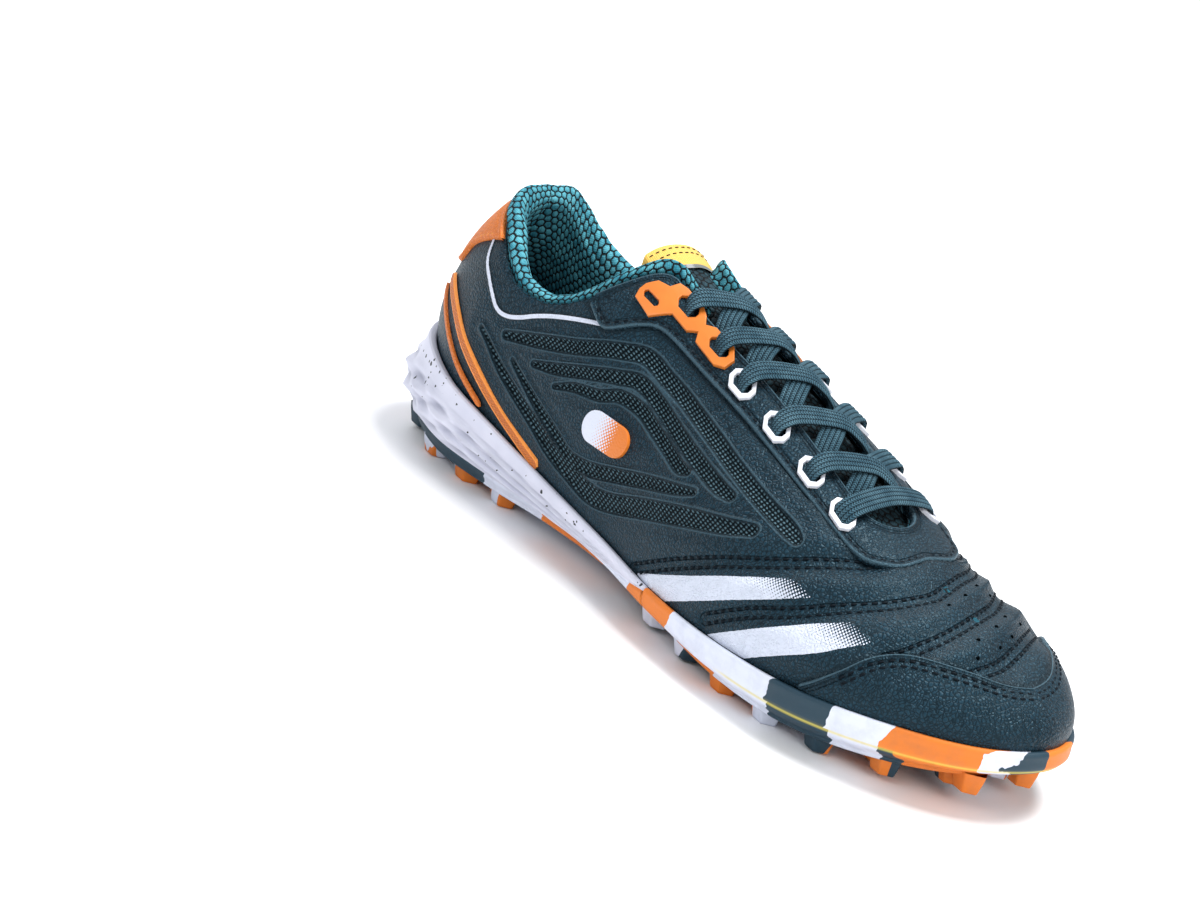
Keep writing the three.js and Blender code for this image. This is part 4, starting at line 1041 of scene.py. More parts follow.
def make_skin():
    q_row = even_stations(0, LAST_ROW, 0.9, 0.6, CLUSTER)
    rows = np.concatenate([[-0.24, -0.1], np.linspace(0, 1, int(98 * FINE))])
    knots, faces, shape = two_sided(q_row, constant(1.0), edge, rows)
    q, w = knots.T
    p = at(q, w)
    flat = flat_coordinates(p, shape, q_row)
    f = features(p, q, w)
    opened = q_row[q_row < THROAT_Q]
    near_edge = nearest(p, [at(opened, side * edge(opened, side)) for side in SIDES])
    covered = (along(EYESTAY, q) > np.abs(w)) & (q > 3.7)
    lift = f["lift"] * np.where(np.abs(w) > 1, 0, 1) * smooth(near_edge, 0.5, 3.0)
    lift = np.where(covered, np.minimum(lift, 0.2), lift)
    lift -= 0.9 * np.exp(-near_edge / 0.7)
    flash, fade = flash_fields(q, w)
    values = {k: f[k] for k in ("band", "pipe", "seam", "between")}
    # under is the distance to the overlays' borders, used for the painted shade beside them.
    values.update(flash=flash, fade=fade, under=nearest(p, overlay_borders()))
    p = p + normal(q, w) * lift[:, None]
    faces, kept = welded(knot_keys(knots), faces, p, flat, *values.values())
    values = dict(zip(values, kept[2:]))
    build("upper_skin", kept[0], faces, UPPER_LOOK, "upper_leather", "upper", kept[1], **values)

    # Rim of the throat and inner face
    q_row = even_stations(0, LAST_ROW, 2.2, 0.6, CLUSTER)
    rows = np.linspace(0, 1, 34)
    knots, faces, shape = two_sided(q_row, constant(1.9), edge, rows)
    q, w = knots.T
    rim = smooth(np.tile(np.tile(rows, shape[0]), 2), 0.93, 1.0)
    inside = lifted(q, w, -WALL + (WALL - 0.4) * rim ** 3)
    flat = flat_coordinates(inside, shape, q_row)
    faces, kept = welded(knot_keys(knots), faces[:, ::-1], inside, flat)
    build("upper_inner_face", kept[0], faces, INNER_LOOK, "lining", None, kept[1])


EDGE_DIP = -0.4


def raised_sheet(name, node, look, slot, q_row, low, high, rows, borders, top, width):
    """Overlay whose rim rounds down to the skin along the given border lines."""
    knots, faces, shape = two_sided(q_row, low, high, rows)
    q, w = knots.T
    p = at(q, w)
    d = nearest(p, borders)
    t = np.clip(d / width, 0, 1)
    lift = EDGE_DIP + (top - EDGE_DIP) * np.sqrt(1 - (1 - t) ** 2)
    lift += 0.15 * wobble(p, 30, 9) * smooth(d, 1, 5)
    lift += 0.18 * np.exp(-((d - 0.7) / 0.6) ** 2) - 0.15 * np.exp(-((d - 2.5) / 0.9) ** 2)
    flat = flat_coordinates(p, shape, q_row)
    p = p + normal(q, w) * lift[:, None]
    faces, kept = welded(knot_keys(knots), faces, p, flat, d)
    build(name, kept[0], faces, look, slot, node, kept[1], rim=kept[2])


def rounded_rows(n, near):
    """Shares from 0 to 1 that crowd towards both ends."""
    even = np.linspace(0, 1, int(n * max(FINE, 0.7)))
    start = 0.02 * np.arange(near) / near
    stop = 1 - 0.03 * np.arange(near * 2) / (near * 2)
    return np.unique(np.round(np.concatenate([even, start, stop]), 6))


def curve_line(table, side, a, b):
    q = np.linspace(a, b, 500)
    return resample(at(q, side * along(table, q)), 0.4)


def smoothed(table):
    """Rows of a table rounded off between its points."""
    t = np.array(table, float)
    c = catmull(t, 12 * len(t))
    order = np.argsort(c[:, 0])
    return c[order]


CAP_CURVE = smoothed(TOE_CAP)
STAY_CURVE = smoothed(EYESTAY)
TAB_CURVES = {LATERAL: smoothed(HEEL_TAB_LATERAL), MEDIAL: smoothed(HEEL_TAB_MEDIAL)}


STAY_GAP = 0.004
TAB_GAP = 0.006


def cap_border(side):
    return curve_line(CAP_CURVE, side, CAP_START, LAST_ROW)


def stay_border(side):
    return curve_line(STAY_CURVE, side, *STAY_SPAN)


def tab_border(side):
    return curve_line(TAB_CURVES[side], side, 0, TAB_STOP)


def edge_border(side, start, stop, samples, gap):
    """Line beside the upper's edge, a small share below it."""
    q = np.linspace(start, stop, samples)
    return resample(at(q, side * (edge(q, side) + gap)), 0.4)


def make_overlays():
    raised_sheet("toe_cap_leather", "toe_cap", PLAIN_LEATHER, "upper_leather",
                 even_stations(CAP_START, LAST_ROW, 0.9, 0.8), constant(1.12),
                 lambda q, side: along(CAP_CURVE, q), rounded_rows(60, 4),
                 [cap_border(side) for side in SIDES], 1.5, 0.9)
    start, stop = STAY_SPAN
    borders = []
    for side in SIDES:
        across = np.linspace(edge(start, side), along(STAY_CURVE, start), 30)
        borders += [stay_border(side), edge_border(side, start, THROAT_Q, 500, STAY_GAP),
                    at(start, side * across)]
    raised_sheet("eyestay_leather", "eyestay", PLAIN_LEATHER, "upper_leather",
                 even_stations(start, stop, 0.9, 0.3, CLUSTER),
                 lambda q, side: np.maximum(along(STAY_CURVE, q), edge(q, side)),
                 lambda q, side: np.where(q < THROAT_Q, edge(q, side) + STAY_GAP, 0.0),
                 rounded_rows(30, 6), borders, 1.6, 0.8)
    borders = []
    for side in SIDES:
        borders += [tab_border(side), edge_border(side, 0, TAB_STOP, 200, TAB_GAP)]
    raised_sheet("heel_tab_leather", "heel_tab", HEEL_LOOK, "heel_orange",
                 even_stations(0, TAB_STOP, 0.7, 0.6),
                 lambda q, side: np.maximum(along(TAB_CURVES[side], q), edge(q, side) + TAB_GAP),
                 lambda q, side: edge(q, side) + TAB_GAP, rounded_rows(34, 5), borders, 1.4, 0.9)


def swept_band(line, rows, profile):
    """Sweeps a profile (across, height) in millimetres along a line on the surface."""
    up = normal(rows[:, 0], rows[:, 1])
    across = unit(np.cross(unit(np.gradient(line, axis=0)), up))
    s = lengths(line)
    taper = np.minimum(smooth(s, -0.4, 1.5), smooth(s[-1] - s, -0.4, 1.5))
    pts = (line[:, None, :] + across[:, None, :] * (profile[None, :, 0:1] * taper[:, None, None])
           + up[:, None, :] * profile[None, :, 1:2])
    return pts.reshape(-1, 3), grid_faces(len(line), len(profile)), rolled_out(s, profile[:, 0])


def make_stripes():
    kinds = (("wide", STRIPE_WIDE, 4.2, STRIPE_LOOK), ("thin", STRIPE_THIN, 2.2, HEEL_LOOK))
    share = np.linspace(-1, 1, 15)
    height = [0.15 + 0.85 * math.sqrt(max(0, 1 - abs(v) ** 5)) for v in share]
    for side, word in NAMED_SIDES:
        for kind, table, width, look in kinds:
            profile = np.stack([width / 2 * share, height], -1)
            pts, faces, flat = swept_band(*surface_line(table, side, 0.8), profile)
            build("stripe_%s_%s" % (word, kind), pts, faces, look, "heel_orange",
                  "heel_stripe_%s_%s" % (word, kind), flat)


# Collar padding
def catmull_closed(points, count):
    p = np.asarray(points, float)
    n = len(p)
    s = np.linspace(0, n, count, endpoint=False)
    i = np.floor(s).astype(int)
    return between_rows(p[(i - 1) % n], p[i % n], p[(i + 1) % n], p[(i + 2) % n], (s - i)[:, None])


PAD_SECTION = [
    (-38, -2.5), (-18, -2.4), (-4, -2.2), (0.2, -1.9), (2.6, -1.5), (4.8, -2.6), (5.8, -5.2), (4.4, -8.6),
    (0.5, -10.6), (-11, -9.8), (-26, -6.2), (-38, -3.6),
]
PAD_TOP = 5.8
PAD_END = 5.0
PAD_FADE = 4.7
# Along the stations: the roll's height over the leather's edge, its thickness, how upright it stands,
# and how far it bulges outwards
PAD_RISE = [
    (0, 2.6), (0.4, 3.1), (0.8, 4.4), (1, 5), (1.5, 5.6), (2, 4.8), (2.5, 3.6), (3, 3), (3.4, 3.5),
    (3.8, 4.8), (4.1, 5.2), (4.5, 4.8), (5, 4),
]
PAD_THICK = [(0, 0.42), (1.0, 0.52), (1.8, 0.85), (2.6, 0.72), (3.1, 0.62), (3.85, 0.42), (5, 0.36)]
PAD_UPRIGHT = [(0, 1), (1.3, 1), (2.1, 0.3), (3.2, 0.35), (3.8, 0.9), (4.5, 1)]
PAD_BULGE = [(0, 2), (0.8, 2.6), (1.4, 2.6), (2.2, 0.4), (3.2, 0.4), (3.9, 1.6), (4.4, 1.6), (5, 1.3)]


def make_collar():
    q_half = even_stations(0, PAD_END, 1.3, 0.4)
    stops = [(q, LATERAL) for q in q_half[::-1]] + [(q, MEDIAL) for q in q_half[1:]]
    count = int(72 * FINE)
    section = catmull_closed(PAD_SECTION, count)
    over = smooth(section[:, 0], -3.0, 2.0)
    loops = []
    for q, side in stops:
        e = float(edge(q, side))
        w = np.linspace(e, 1.6, 90)
        line = at(q, side * w)
        d = lengths(line)
        end = math.sqrt(max(0.03, 1 - max(0.0, (q - PAD_FADE) / (PAD_END - PAD_FADE)) ** 2))
        upright, thick = along(PAD_UPRIGHT, q), along(PAD_THICK, q) * end
        tangent = unit(at(q, side * e) - at(q, side * (e + 0.02)))
        up = unit(mix(tangent, np.array([0, 0, 1.0]), upright))
        outer = normal(q, side * e)
        outer = unit(outer - up * (outer @ up))
        down = np.maximum(-section[:, 0], 0)
        rise = np.maximum(section[:, 0], 0) * along(PAD_RISE, q) / PAD_TOP * mix(0.3, 1, end)
        ws = np.interp(down, d, w)
        lift = np.where(section[:, 1] < -2.5, -2.5 + (section[:, 1] + 2.5) * thick, section[:, 1])
        outwards = 1 + 1.6 * float(smooth(q, 3.6, 4.2)) * (side > 0)
        lift = lift + along(PAD_BULGE, q) * over * end * outwards
        # The heel's inner face stays upright where the leather bulges behind it
        lift = lift - 3.6 * smooth(-q, -1.8, -0.9) * smooth(down, 2, 20) * smooth(-section[:, 1], 3, 6)
        aside = unit(mix(outer, normal(q, side * ws), smooth(down, 0, 8)[:, None]))
        loops.append(at(q, side * ws) + up * rise[:, None] + aside * lift[:, None])
    pts = np.array(loops)
    out = unit(pts - pts.mean(1, keepdims=True))
    bumps = wobble(pts.reshape(-1, 3), 14, 21).reshape(pts.shape[:2])
    pts = pts + out * (0.3 * bumps)[..., None]
    around = np.linalg.norm(np.diff(np.concatenate([pts, pts[:, :1]], 1), axis=1), axis=2).mean(0)
    flat = rolled_out(lengths(pts[:, count // 2]), np.concatenate([[0], np.cumsum(around)[:-1]]))
    obj = build("collar_lining", pts.reshape(-1, 3), tube_faces(len(stops), count), LINING_LOOK, "lining",
                "collar_padding", flat)
    cleaned(obj)


# Tongue
TONGUE_HALF = [
    (3.86, 0.19), (4.02, 0.205), (4.2, 0.215), (4.4, 0.24), (4.65, 0.32), (5, 0.4), (6, 0.4), (7, 0.39),
    (8.3, 0.34),
]
TONGUE_LIFT = [(3.86, -0.5), (4.1, -1.2), (4.36, -2.4), (7, -2.5), (8.3, -3)]
TONGUE_TOP, TONGUE_END = 3.82, 8.25
TONGUE_THICK = (4.6, 3.2)


def make_tongue():
    q_row = even_stations(TONGUE_TOP, TONGUE_END, 1.3, 0.1)
    n = int(96 * FINE) // 2 * 2
    a = np.linspace(0, 2 * math.pi, n, endpoint=False)
    sx = np.sign(np.cos(a)) * np.abs(np.cos(a)) ** 0.55
    sy = np.sign(np.sin(a)) * np.abs(np.sin(a)) ** 0.75
    loops = []
    flats = []
    length = 0.0
    last = None
    for q in q_row:
        end = math.sqrt(max(0.004, 1 - max(0.0, (TONGUE_TOP + 0.14 - q) / 0.15) ** 2))
        half = along(TONGUE_HALF, q) * mix(0.72, 1.0, end)
        thick = mix(*TONGUE_THICK, np.clip((q - 4) / 3, 0, 1)) / 2
        w = half * sx
        crown = 0.5 * (1 - (w / half) ** 2)
        mid = along(TONGUE_LIFT, q) - thick
        lift = mid + sy * thick * end + np.where(sy > 0, crown, 0) * end
        loop = lifted(np.full_like(w, q), w, lift)
        centre = at(q, 0.0)
        if last is not None:
            length += float(np.linalg.norm(centre - last))
        last = centre
        across = np.sign(w) * np.linalg.norm(loop - centre, axis=1)
        loops.append(loop)
        flats.append(np.stack([np.full_like(w, length), across, 0 * w], -1))
    pts = np.array(loops)
    seam = 0.35 * wobble(pts.reshape(-1, 3), 12, 33).reshape(pts.shape[:2])
    pts[..., 2] += seam * (np.abs(sy) > 0.5)[None, :]
    obj = build("tongue_cloth", pts.reshape(-1, 3), tube_faces(len(q_row), n), TONGUE_LOOK, "tongue_mesh",
                "tongue", np.concatenate(flats))
    cleaned(obj)

    # Label over the tongue's top end
    n = 40
    q = np.linspace(TONGUE_TOP - 0.005, TONGUE_TOP + 0.47, n)
    qq, ss = np.meshgrid(q, np.linspace(-1, 1, n), indexing="ij")
    dip = smooth(TONGUE_TOP + 0.105 - qq, 0, 0.11)
    half = along(TONGUE_HALF, qq) + 0.012 - 0.03 * dip
    over_side = 3.2 * smooth(np.abs(ss), 0.84, 1.0)
    lift = along(TONGUE_LIFT, qq) + 0.75 + 0.45 * (1 - ss ** 2) - 3.0 * dip ** 2 - over_side
    pts = lifted(qq, ss * half, lift).reshape(-1, 3)
    flat = rolled_out(lengths(at(q, np.zeros_like(q))), ss[0] * 15.5)
    build("tongue_top_label", pts, grid_faces(n, n), LABEL_LOOK, "label", "tongue_label", flat)
    for stop in (TONGUE_TOP + 0.14, TONGUE_TOP + 0.235):
        share = np.linspace(-0.85, 0.85, 60)
        q, w = np.full_like(share, stop), share * 0.2
        line = lifted(q, w, along(TONGUE_LIFT, stop) + 0.85 + 0.45 * (1 - share ** 2))
        STITCHES["label"].append((line, normal(q, w), 1.7, 0.8, 0.24))


# Stitches, gathered by piece and joined
STITCHES = {"seam": [], "heel": [], "label": []}


def stitch_mesh(lines):
    """Short capsules along lines: points, normals, length, gap and radius in millimetres."""
    rings = [(-1.0, 0.0), (-0.86, 0.62), (-0.5, 1.0), (0.5, 1.0), (0.86, 0.62), (1.0, 0.0)]
    sides = 6
    all_points, all_faces, count = [], [], 0
    one = grid_faces(len(rings), sides, True)
    for line, up, long, gap, radius in lines:
        d = lengths(line)
        number = max(1, int(d[-1] / (long + gap)))
        mids = (np.arange(number) + 0.5) * d[-1] / number

        def sample(s, values):
            return np.stack([np.interp(s, d, values[:, k]) for k in range(3)], -1)

        a, b = sample(mids - long / 2, line), sample(mids + long / 2, line)
        m, n = sample(mids, line), unit(sample(mids, up))
        run = unit(b - a)
        side = unit(np.cross(run, n))
        n = np.cross(side, run)
        for k in range(number):
            pts = []
            for t, r in rings:
                for j in range(sides):
                    ang = 2 * math.pi * j / sides
                    sag = -0.55 * radius * t * t
                    pts.append(m[k] + run[k] * t * long / 2 + side[k] * math.cos(ang) * r * radius
                               + n[k] * (math.sin(ang) * r * radius * 0.8 + sag))
            all_points.append(np.array(pts))
            all_faces.append(one + count)
            count += len(pts)
    return np.concatenate(all_points), np.concatenate(all_faces)


def surface_stitches(line, rows, offset, base, long=2.2, gap=0.9, radius=0.46, with_relief=True):
    """Row of stitches beside a line on the skin, offset in millimetres to its left."""
    q, w = rows[:, 0], rows[:, 1]
    up = normal(q, w)
    left = unit(np.cross(up, unit(np.gradient(line, axis=0))))
    line = line + left * offset
    lift = features(line, q, w)["lift"] if with_relief else np.zeros(len(q))
    return line + up * (lift + base)[:, None], up, long, gap, radius


def make_perforations():
    """Small dents punched into the vamp, made as near-black discs: painted shade for the insides of the
    holes.
    """
    places = np.array([(x, y, 40.0) for x, y in HOLES])
    q, w = knots_below(places)
    middle, up = at(q, w), normal(q, w)
    lift = features(middle, q, w)["lift"]
    sides = 14
    turns = np.linspace(0, 2 * math.pi, sides, endpoint=False)
    dent = grid_faces(3, sides, True).tolist() + [[2 * sides + k for k in range(sides)]]
    parts = []
    for m, n, high in zip(middle, up, lift):
        a = unit(np.cross(n, (0, 1, 0)))
        b = np.cross(n, a)
        rings = [m + n * (high + h) + r * (np.outer(np.cos(turns), a) + np.outer(np.sin(turns), b))
                 for r, h in ((0.72, -0.25), (0.62, 0.16), (0.3, 0.1))]
        parts.append((np.concatenate(rings), dent))
    cleaned(build("vamp_perforations", *joined(parts), HOLE_LOOK, "upper_leather"))


def make_stitches():
    seams = STITCHES["seam"]
    for line, rows in SEAM_LINES:
        seams += [surface_stitches(line, rows, offset, 0.02) for offset in (-1.55, 1.55)]
    for side in SIDES:
        def row(table, offset, base, *size):
            return surface_stitches(*surface_line(table, side, 0.7), offset, base, *size, with_relief=False)

        cap = [(q, along(CAP_CURVE, q)) for q in np.linspace(8.35, LAST_ROW, 40)]
        stay = [(q, along(STAY_CURVE, q)) for q in np.linspace(3.8, 8.3, 80)]
        q = np.linspace(4.6, THROAT_Q - 0.01, 60)
        throat = [(a, b + 0.026) for a, b in zip(q, edge(q, side))]
        tab = [(q, along(TAB_CURVES[side], q)) for q in np.linspace(0.0, 1.6, 20)]
        seams += [row(cap, side * 2.6, 1.35), row(cap, side * 4.6, 1.35), row(stay, side * -2.2, 1.35),
                  row(throat, 0, 1.42, 2.0, 0.8, 0.26)]
        STITCHES["heel"].append(row(tab, side * -1.8, 1.25, 1.9, 0.7, 0.24))
    looks = {"seam": (THREAD_LOOK, "upper_leather"), "heel": (THREAD_ORANGE, "heel_orange"),
             "label": (THREAD_BLACK, "label")}
    for kind, (look, slot) in looks.items():
        build(kind + "_stitches", *stitch_mesh(STITCHES[kind]), look, slot)


# Plates on the eyestay: outlines in millimetres round a knot
def octagon(long, wide, cut, a0=0.0, b0=0.0):
    x, y = long / 2, wide / 2
    corners = [(-x + cut, -y), (x - cut, -y), (x, -y + cut), (x, y - cut), (x - cut, y), (-x + cut, y),
               (-x, y - cut), (-x, -y + cut)]
    return [(a0 + a, b0 + b) for a, b in corners]


def pill(long, wide):
    r = wide / 2
    c = long / 2 - r
    end = [(c + r * math.sin(t), -r * math.cos(t)) for t in np.linspace(0, math.pi, 14)]
    return end + [(-a, -b) for a, b in end]


def plate(name, node, look, slot, q0, w0, outline, holes, low, high, bevel, crown=0.0, turn=None):
    """Bevelled plate between two heights over the skin, with its outline round a knot."""
    per_q = np.linalg.norm(at(q0 + 0.05, w0) - at(q0 - 0.05, w0)) / 0.1
    per_w = np.linalg.norm(at(q0, w0 + 0.02) - at(q0, w0 - 0.02)) / 0.04
    inwards = 1 if w0 < 0 else -1
    bm = bmesh.new()
    for ring in [outline] + holes:
        verts = [bm.verts.new((a, b, 0)) for a, b in ring]
        for i in range(len(verts)):
            bm.edges.new((verts[i], verts[(i + 1) % len(verts)]))
    bmesh.ops.triangle_fill(bm, use_beauty=True, use_dissolve=False, edges=bm.edges[:])
    long_edges = [e for e in bm.edges if e.calc_length() > 3.0]
    bmesh.ops.subdivide_edges(bm, edges=long_edges, cuts=2)
    bmesh.ops.triangulate(bm, faces=bm.faces[:])
    for f in bm.faces:
        if f.normal.z < 0:
            f.normal_flip()
    bottom = bm.faces[:]
    made = bmesh.ops.extrude_face_region(bm, geom=bottom)
    for v in [g for g in made["geom"] if isinstance(g, bmesh.types.BMVert)]:
        v.co.z = 1.0
    bm.normal_update()
    upper = [e for e in bm.edges if len(e.link_faces) == 2 and min(v.co.z for v in e.verts) > 0.5]
    rim = [e for e in upper if e.calc_face_angle(0) > 1.2]
    for v in bm.verts:
        v.co.z *= high - low
    bmesh.ops.bevel(bm, geom=rim, offset=bevel, segments=3, profile=0.6, affect="EDGES", clamp_overlap=True)
    local, faces = taken_out(bm)
    size = max(abs(np.array(outline)).max(0))
    swell = crown * np.clip(1 - (np.hypot(local[:, 0], local[:, 1]) / size) ** 2, 0, 1)
    if turn is None:
        dq, dw = local[:, 0] / per_q, inwards * local[:, 1] / per_w
    else:
        # Straight axes of the tangent plane instead of the slanted ones of the knots
        a, b = at(q0 + 0.05, w0) - at(q0 - 0.05, w0), at(q0, w0 + 0.02) - at(q0, w0 - 0.02)
        run = unit(a)
        up = unit(b - run * (b @ run)) * inwards
        c, d = math.cos(turn), math.sin(turn)
        place = np.outer(local[:, 0] * c - local[:, 1] * d, run)
        place = place + np.outer(local[:, 0] * d + local[:, 1] * c, up)
        solved = place @ np.linalg.pinv(np.stack([a / 0.1, b / 0.04]))
        dq, dw = solved[:, 0], solved[:, 1]
    pts = lifted(q0 + dq, w0 + dw, low + local[:, 2] + swell)
    cleaned(build(name, pts, faces, look, slot, node, local, smooth_shade=False))


PLATE_LOW, PLATE_HIGH, PLATE_BEVEL = 1.3, 2.85, 0.4
PILL_KNOT = (4.62, 0.73)
PANEL_KNOT = (4.62, 0.25)
PANEL = [
    (-11.3, -6.2), (-3.2, -7.6), (3.2, -1.9), (11.1, -2.2), (14.8, 0.4), (16.6, -2.4), (26.9, -3.1),
    (30.4, -1.2), (30.9, 2.9), (27.4, 6), (18.1, 6), (14.8, 3.9), (12.4, 6.2), (8.8, 7.8), (0.2, 7.8),
    (-2.9, 6.9), (-4.2, 3.6), (-8.6, 2.2), (-11.2, -1.2), (-11.8, -3.6),
]


def make_plates():
    heights = (PLATE_LOW, PLATE_HIGH, PLATE_BEVEL)
    holes = [octagon(7.0, 2.2, 0.8, -6.2, -3.2), octagon(9.0, 5.2, 1.9, 5.6, 3.7),
             octagon(8.6, 4.4, 1.7, 24, 2)]
    for side, word in NAMED_SIDES:
        q, w = PANEL_KNOT
        plate("panel_" + word, "eyelet_panel_" + word, PANEL_LOOK, "eyelet_orange", q, side * w, PANEL, holes,
              *heights)
        for k, (q, w) in enumerate(EYELETS[2:], 3):
            plate("loop_%s_%d" % (word, k), "eyelet_loop_%s_%d" % (word, k), LOOP_LOOK, "eyelet_white",
                  q, side * w, octagon(11.6, 8.2, 2.7), [octagon(8.2, 4.8, 1.6)], *heights)
        q, w = PILL_KNOT
        plate("side_pill_" + word, "side_patch_" + word, PATCH_LOOK, "patch_plain", q, side * w,
              pill(21.5, 10.5), [], 0.0, 1.3, 0.5, 0.35, 0.17)


# Laces
LACE_WIDTH = 8.0


def lace_band(control):
    """Ribbed flat band through knots (q, w, lift): points, faces, flat coordinates and ribs."""
    c = np.asarray(control, float)
    knots = lifted(c[:, 0], c[:, 1], c[:, 2])
    ups = normal(c[:, 0], c[:, 1])
    n = 16 * len(c)
    line = catmull(knots, n)
    line, ups = resample(line, 0.75, catmull(ups, n))
    ups = unit(ups)
    chord = unit(knots[-2] - knots[1])
    across = unit(np.cross(np.tile(chord, (len(line), 1)), ups))
    run = unit(np.gradient(line, axis=0))
    across = unit(across - run * (across * run).sum(1, keepdims=True))
    over = np.cross(across, run)
    over *= np.sign((over * ups).sum(1).mean())
    v = np.linspace(-1, 1, 41 if FINE == 1 else 21)
    rib = np.abs(np.sin((v + 1) * math.pi * 2.5))
    top = 0.50 * (1 - np.abs(v) ** 6) + 0.26 * rib ** 0.8
    top[0] = top[-1] = 0.15
    arch = 0.35 * (1 - v ** 2)
    profile = np.concatenate([np.stack([v, top + arch, rib], -1), np.stack([v, -top + arch, rib], -1)[::-1]])
    s = lengths(line)
    pts = (line[:, None] + across[:, None] * (profile[None, :, 0:1] * (LACE_WIDTH / 2))
           + over[:, None] * profile[None, :, 1:2])
    ribs = np.tile(np.clip(profile[:, 2] * 1.6, 0, 1), (len(s), 1))
    faces = tube_faces(len(s), len(profile))
    return pts.reshape(-1, 3), faces, rolled_out(s, (profile[:, 0] + 1) * 2.5), ribs.ravel()


def lace_piece(name, node, bands):
    pts, faces, flat, rib = joined(bands)
    cleaned(build(name, pts, faces, LACE_LOOK, "lace", node, flat, rib=rib))


def make_laces():
    for k in range(5):
        (q0, w0), (q1, _) = EYELETS[k], EYELETS[k + 1]

        def go(side, top):
            far = -side
            e = float(edge(mix(q0, q1, 0.8), far))
            return lace_band([
                (q0 - 0.01, side * (w0 + 0.03), -2.2), (q0, side * (w0 + 0.012), 0.8),
                (q0 + 0.01, side * (w0 - 0.03), 3.7), (mix(q0, q1, 0.12), side * w0 * 0.6, top + 0.1),
                (mix(q0, q1, 0.40), 0, top + 0.2), (mix(q0, q1, 0.62), far * e * 0.5, top - 0.9),
                (mix(q0, q1, 0.78), far * e * 0.88, top - 3.2), (mix(q0, q1, 0.88), far * e * 1.1, -1.9),
                (mix(q0, q1, 0.95), far * e * 1.45, -2.6)])

        lace_piece("lace_over_%d" % (k + 1), "lace_cross_%d" % (k + 1), [go(LATERAL, 4.4), go(MEDIAL, 3.0)])
    q, w = EYELETS[5]
    half = [(0.0, w + 0.03, -2.2), (0.0, w + 0.012, 0.8), (0.01, w - 0.03, 3.75), (0.03, w * 0.5, 4.1)]
    bar = [(q + a, -b, c) for a, b, c in half] + [(q + 0.04, 0, 4.1)]
    bar += [(q + a, b, c) for a, b, c in half[::-1]]
    lace_piece("lace_straight", "lace_bar", [lace_band(bar)])


# Sole
RIB_DEPTH, FACET_DEPTH = 2.6, 2.2


def z_share(table, q):
    return spline(table, q) * INSTEP_HEIGHT


def y_share(table, q):
    return spline(table, q) * BALL_HALF


def side_point(q, side, d, z):
    x, y, _, nx, ny = foot(q, side)
    return np.stack([x + nx * d, y + ny * d, z + 0 * x], -1)


def wall_profile(q, m):
    """Side wall of the sole from the underside over the lip to the upper, at m places for each station."""
    under, top = z_share(UNDER, q), z_share(FOOT_Z, q)
    tuck, flare, lip = y_share(TUCK, q), y_share(FLARE, q), y_share(LIP, q)
    stops = [
        (-tuck - 5.0, under), (-tuck - 1.3, under), (-tuck - 0.1, under + 0.7), (-tuck + 0.4, under + 2.0),
        (mix(-tuck, flare, 0.72), mix(under, top, 0.32)), (flare, mix(under, top, 0.52)),
        (mix(flare, lip, 0.7), mix(under, top, 0.78)), (lip + 0.05, top - 1.0), (lip - 0.35, top - 0.15),
        (lip - 1.0, top + 0.1), (mix(lip, 0.0, 0.8) - 0.4, top - 0.5), (-0.3 + 0 * lip, top - 3.0),
    ]
    s = np.linspace(0, len(stops) - 1, m)
    d, z = (np.stack([spline(row, s, True, True) for row in np.stack(column, -1)]) for column in zip(*stops))
    return d, z, s


def wall_part(d, z, low, high, count):
    """Places of the wall between two shares of its rows."""
    t = mix(low[:, None], high[:, None], np.linspace(0, 1, count)[None, :]) * (d.shape[1] - 1)
    i = np.minimum(np.floor(t).astype(int), d.shape[1] - 2)
    g = t - i
    rows = np.arange(len(d))[:, None]
    return [a[rows, i] * (1 - g) + a[rows, i + 1] * g for a in (d, z)]


def split_height(x):
    t = np.array(SPLIT)
    return np.interp(x, LAST_BACK + t[:, 0] * LAST_LENGTH, t[:, 1] * INSTEP_HEIGHT)


def heel_ribs(q, share):
    """Relief of the foam's side: ribs that fan out from the waist, slanted facets at the heel."""
    fade = smooth(-q, -6.6, -2.6)
    ribs = share * 4.4 + 0.34 * q
    saw = np.abs(((ribs + 0.15) % 1.0) - 0.5) * 2
    body = smooth(share, 0.03, 0.12) * smooth(-share, -0.84, -0.66)
    back = smooth(-q, -3.3, -1.6)
    zig = np.abs(((q * 1.5 - share * 2.6) % 1.0) - 0.5) * 2
    return body * fade * (RIB_DEPTH * (1 - 0.45 * back) * (saw - 0.5) + FACET_DEPTH * back * (zig - 0.5))


def border_share(z, s, border, tall):
    """Share of each row of the wall's places where the border between rubber and foam runs."""
    m = z.shape[1]
    rows = np.arange(len(z))
    below = (z < border[:, None]) | (s[None, :] < 2.0)
    last = np.where(below.all(1) | (border > tall), m - 1, below.cumprod(1).sum(1) - 1)
    z0, z1 = z[rows, last], z[rows, np.minimum(last + 1, m - 1)]
    f = np.where(z1 > z0 + 1e-6, np.clip((border - z0) / np.maximum(z1 - z0, 1e-6), 0, 1), 0)
    return np.where(border > tall - 1.0, 1.0, (last + f) / (m - 1))


def spine(q, height):
    """Middle line of the sole at a height."""
    x = LAST_BACK + LAST_LENGTH * mix(0.055, 0.945, spline(FOOT_X, q))
    return np.stack([x, (foot(q, LATERAL)[1] + foot(q, MEDIAL)[1]) / 2, height], -1)


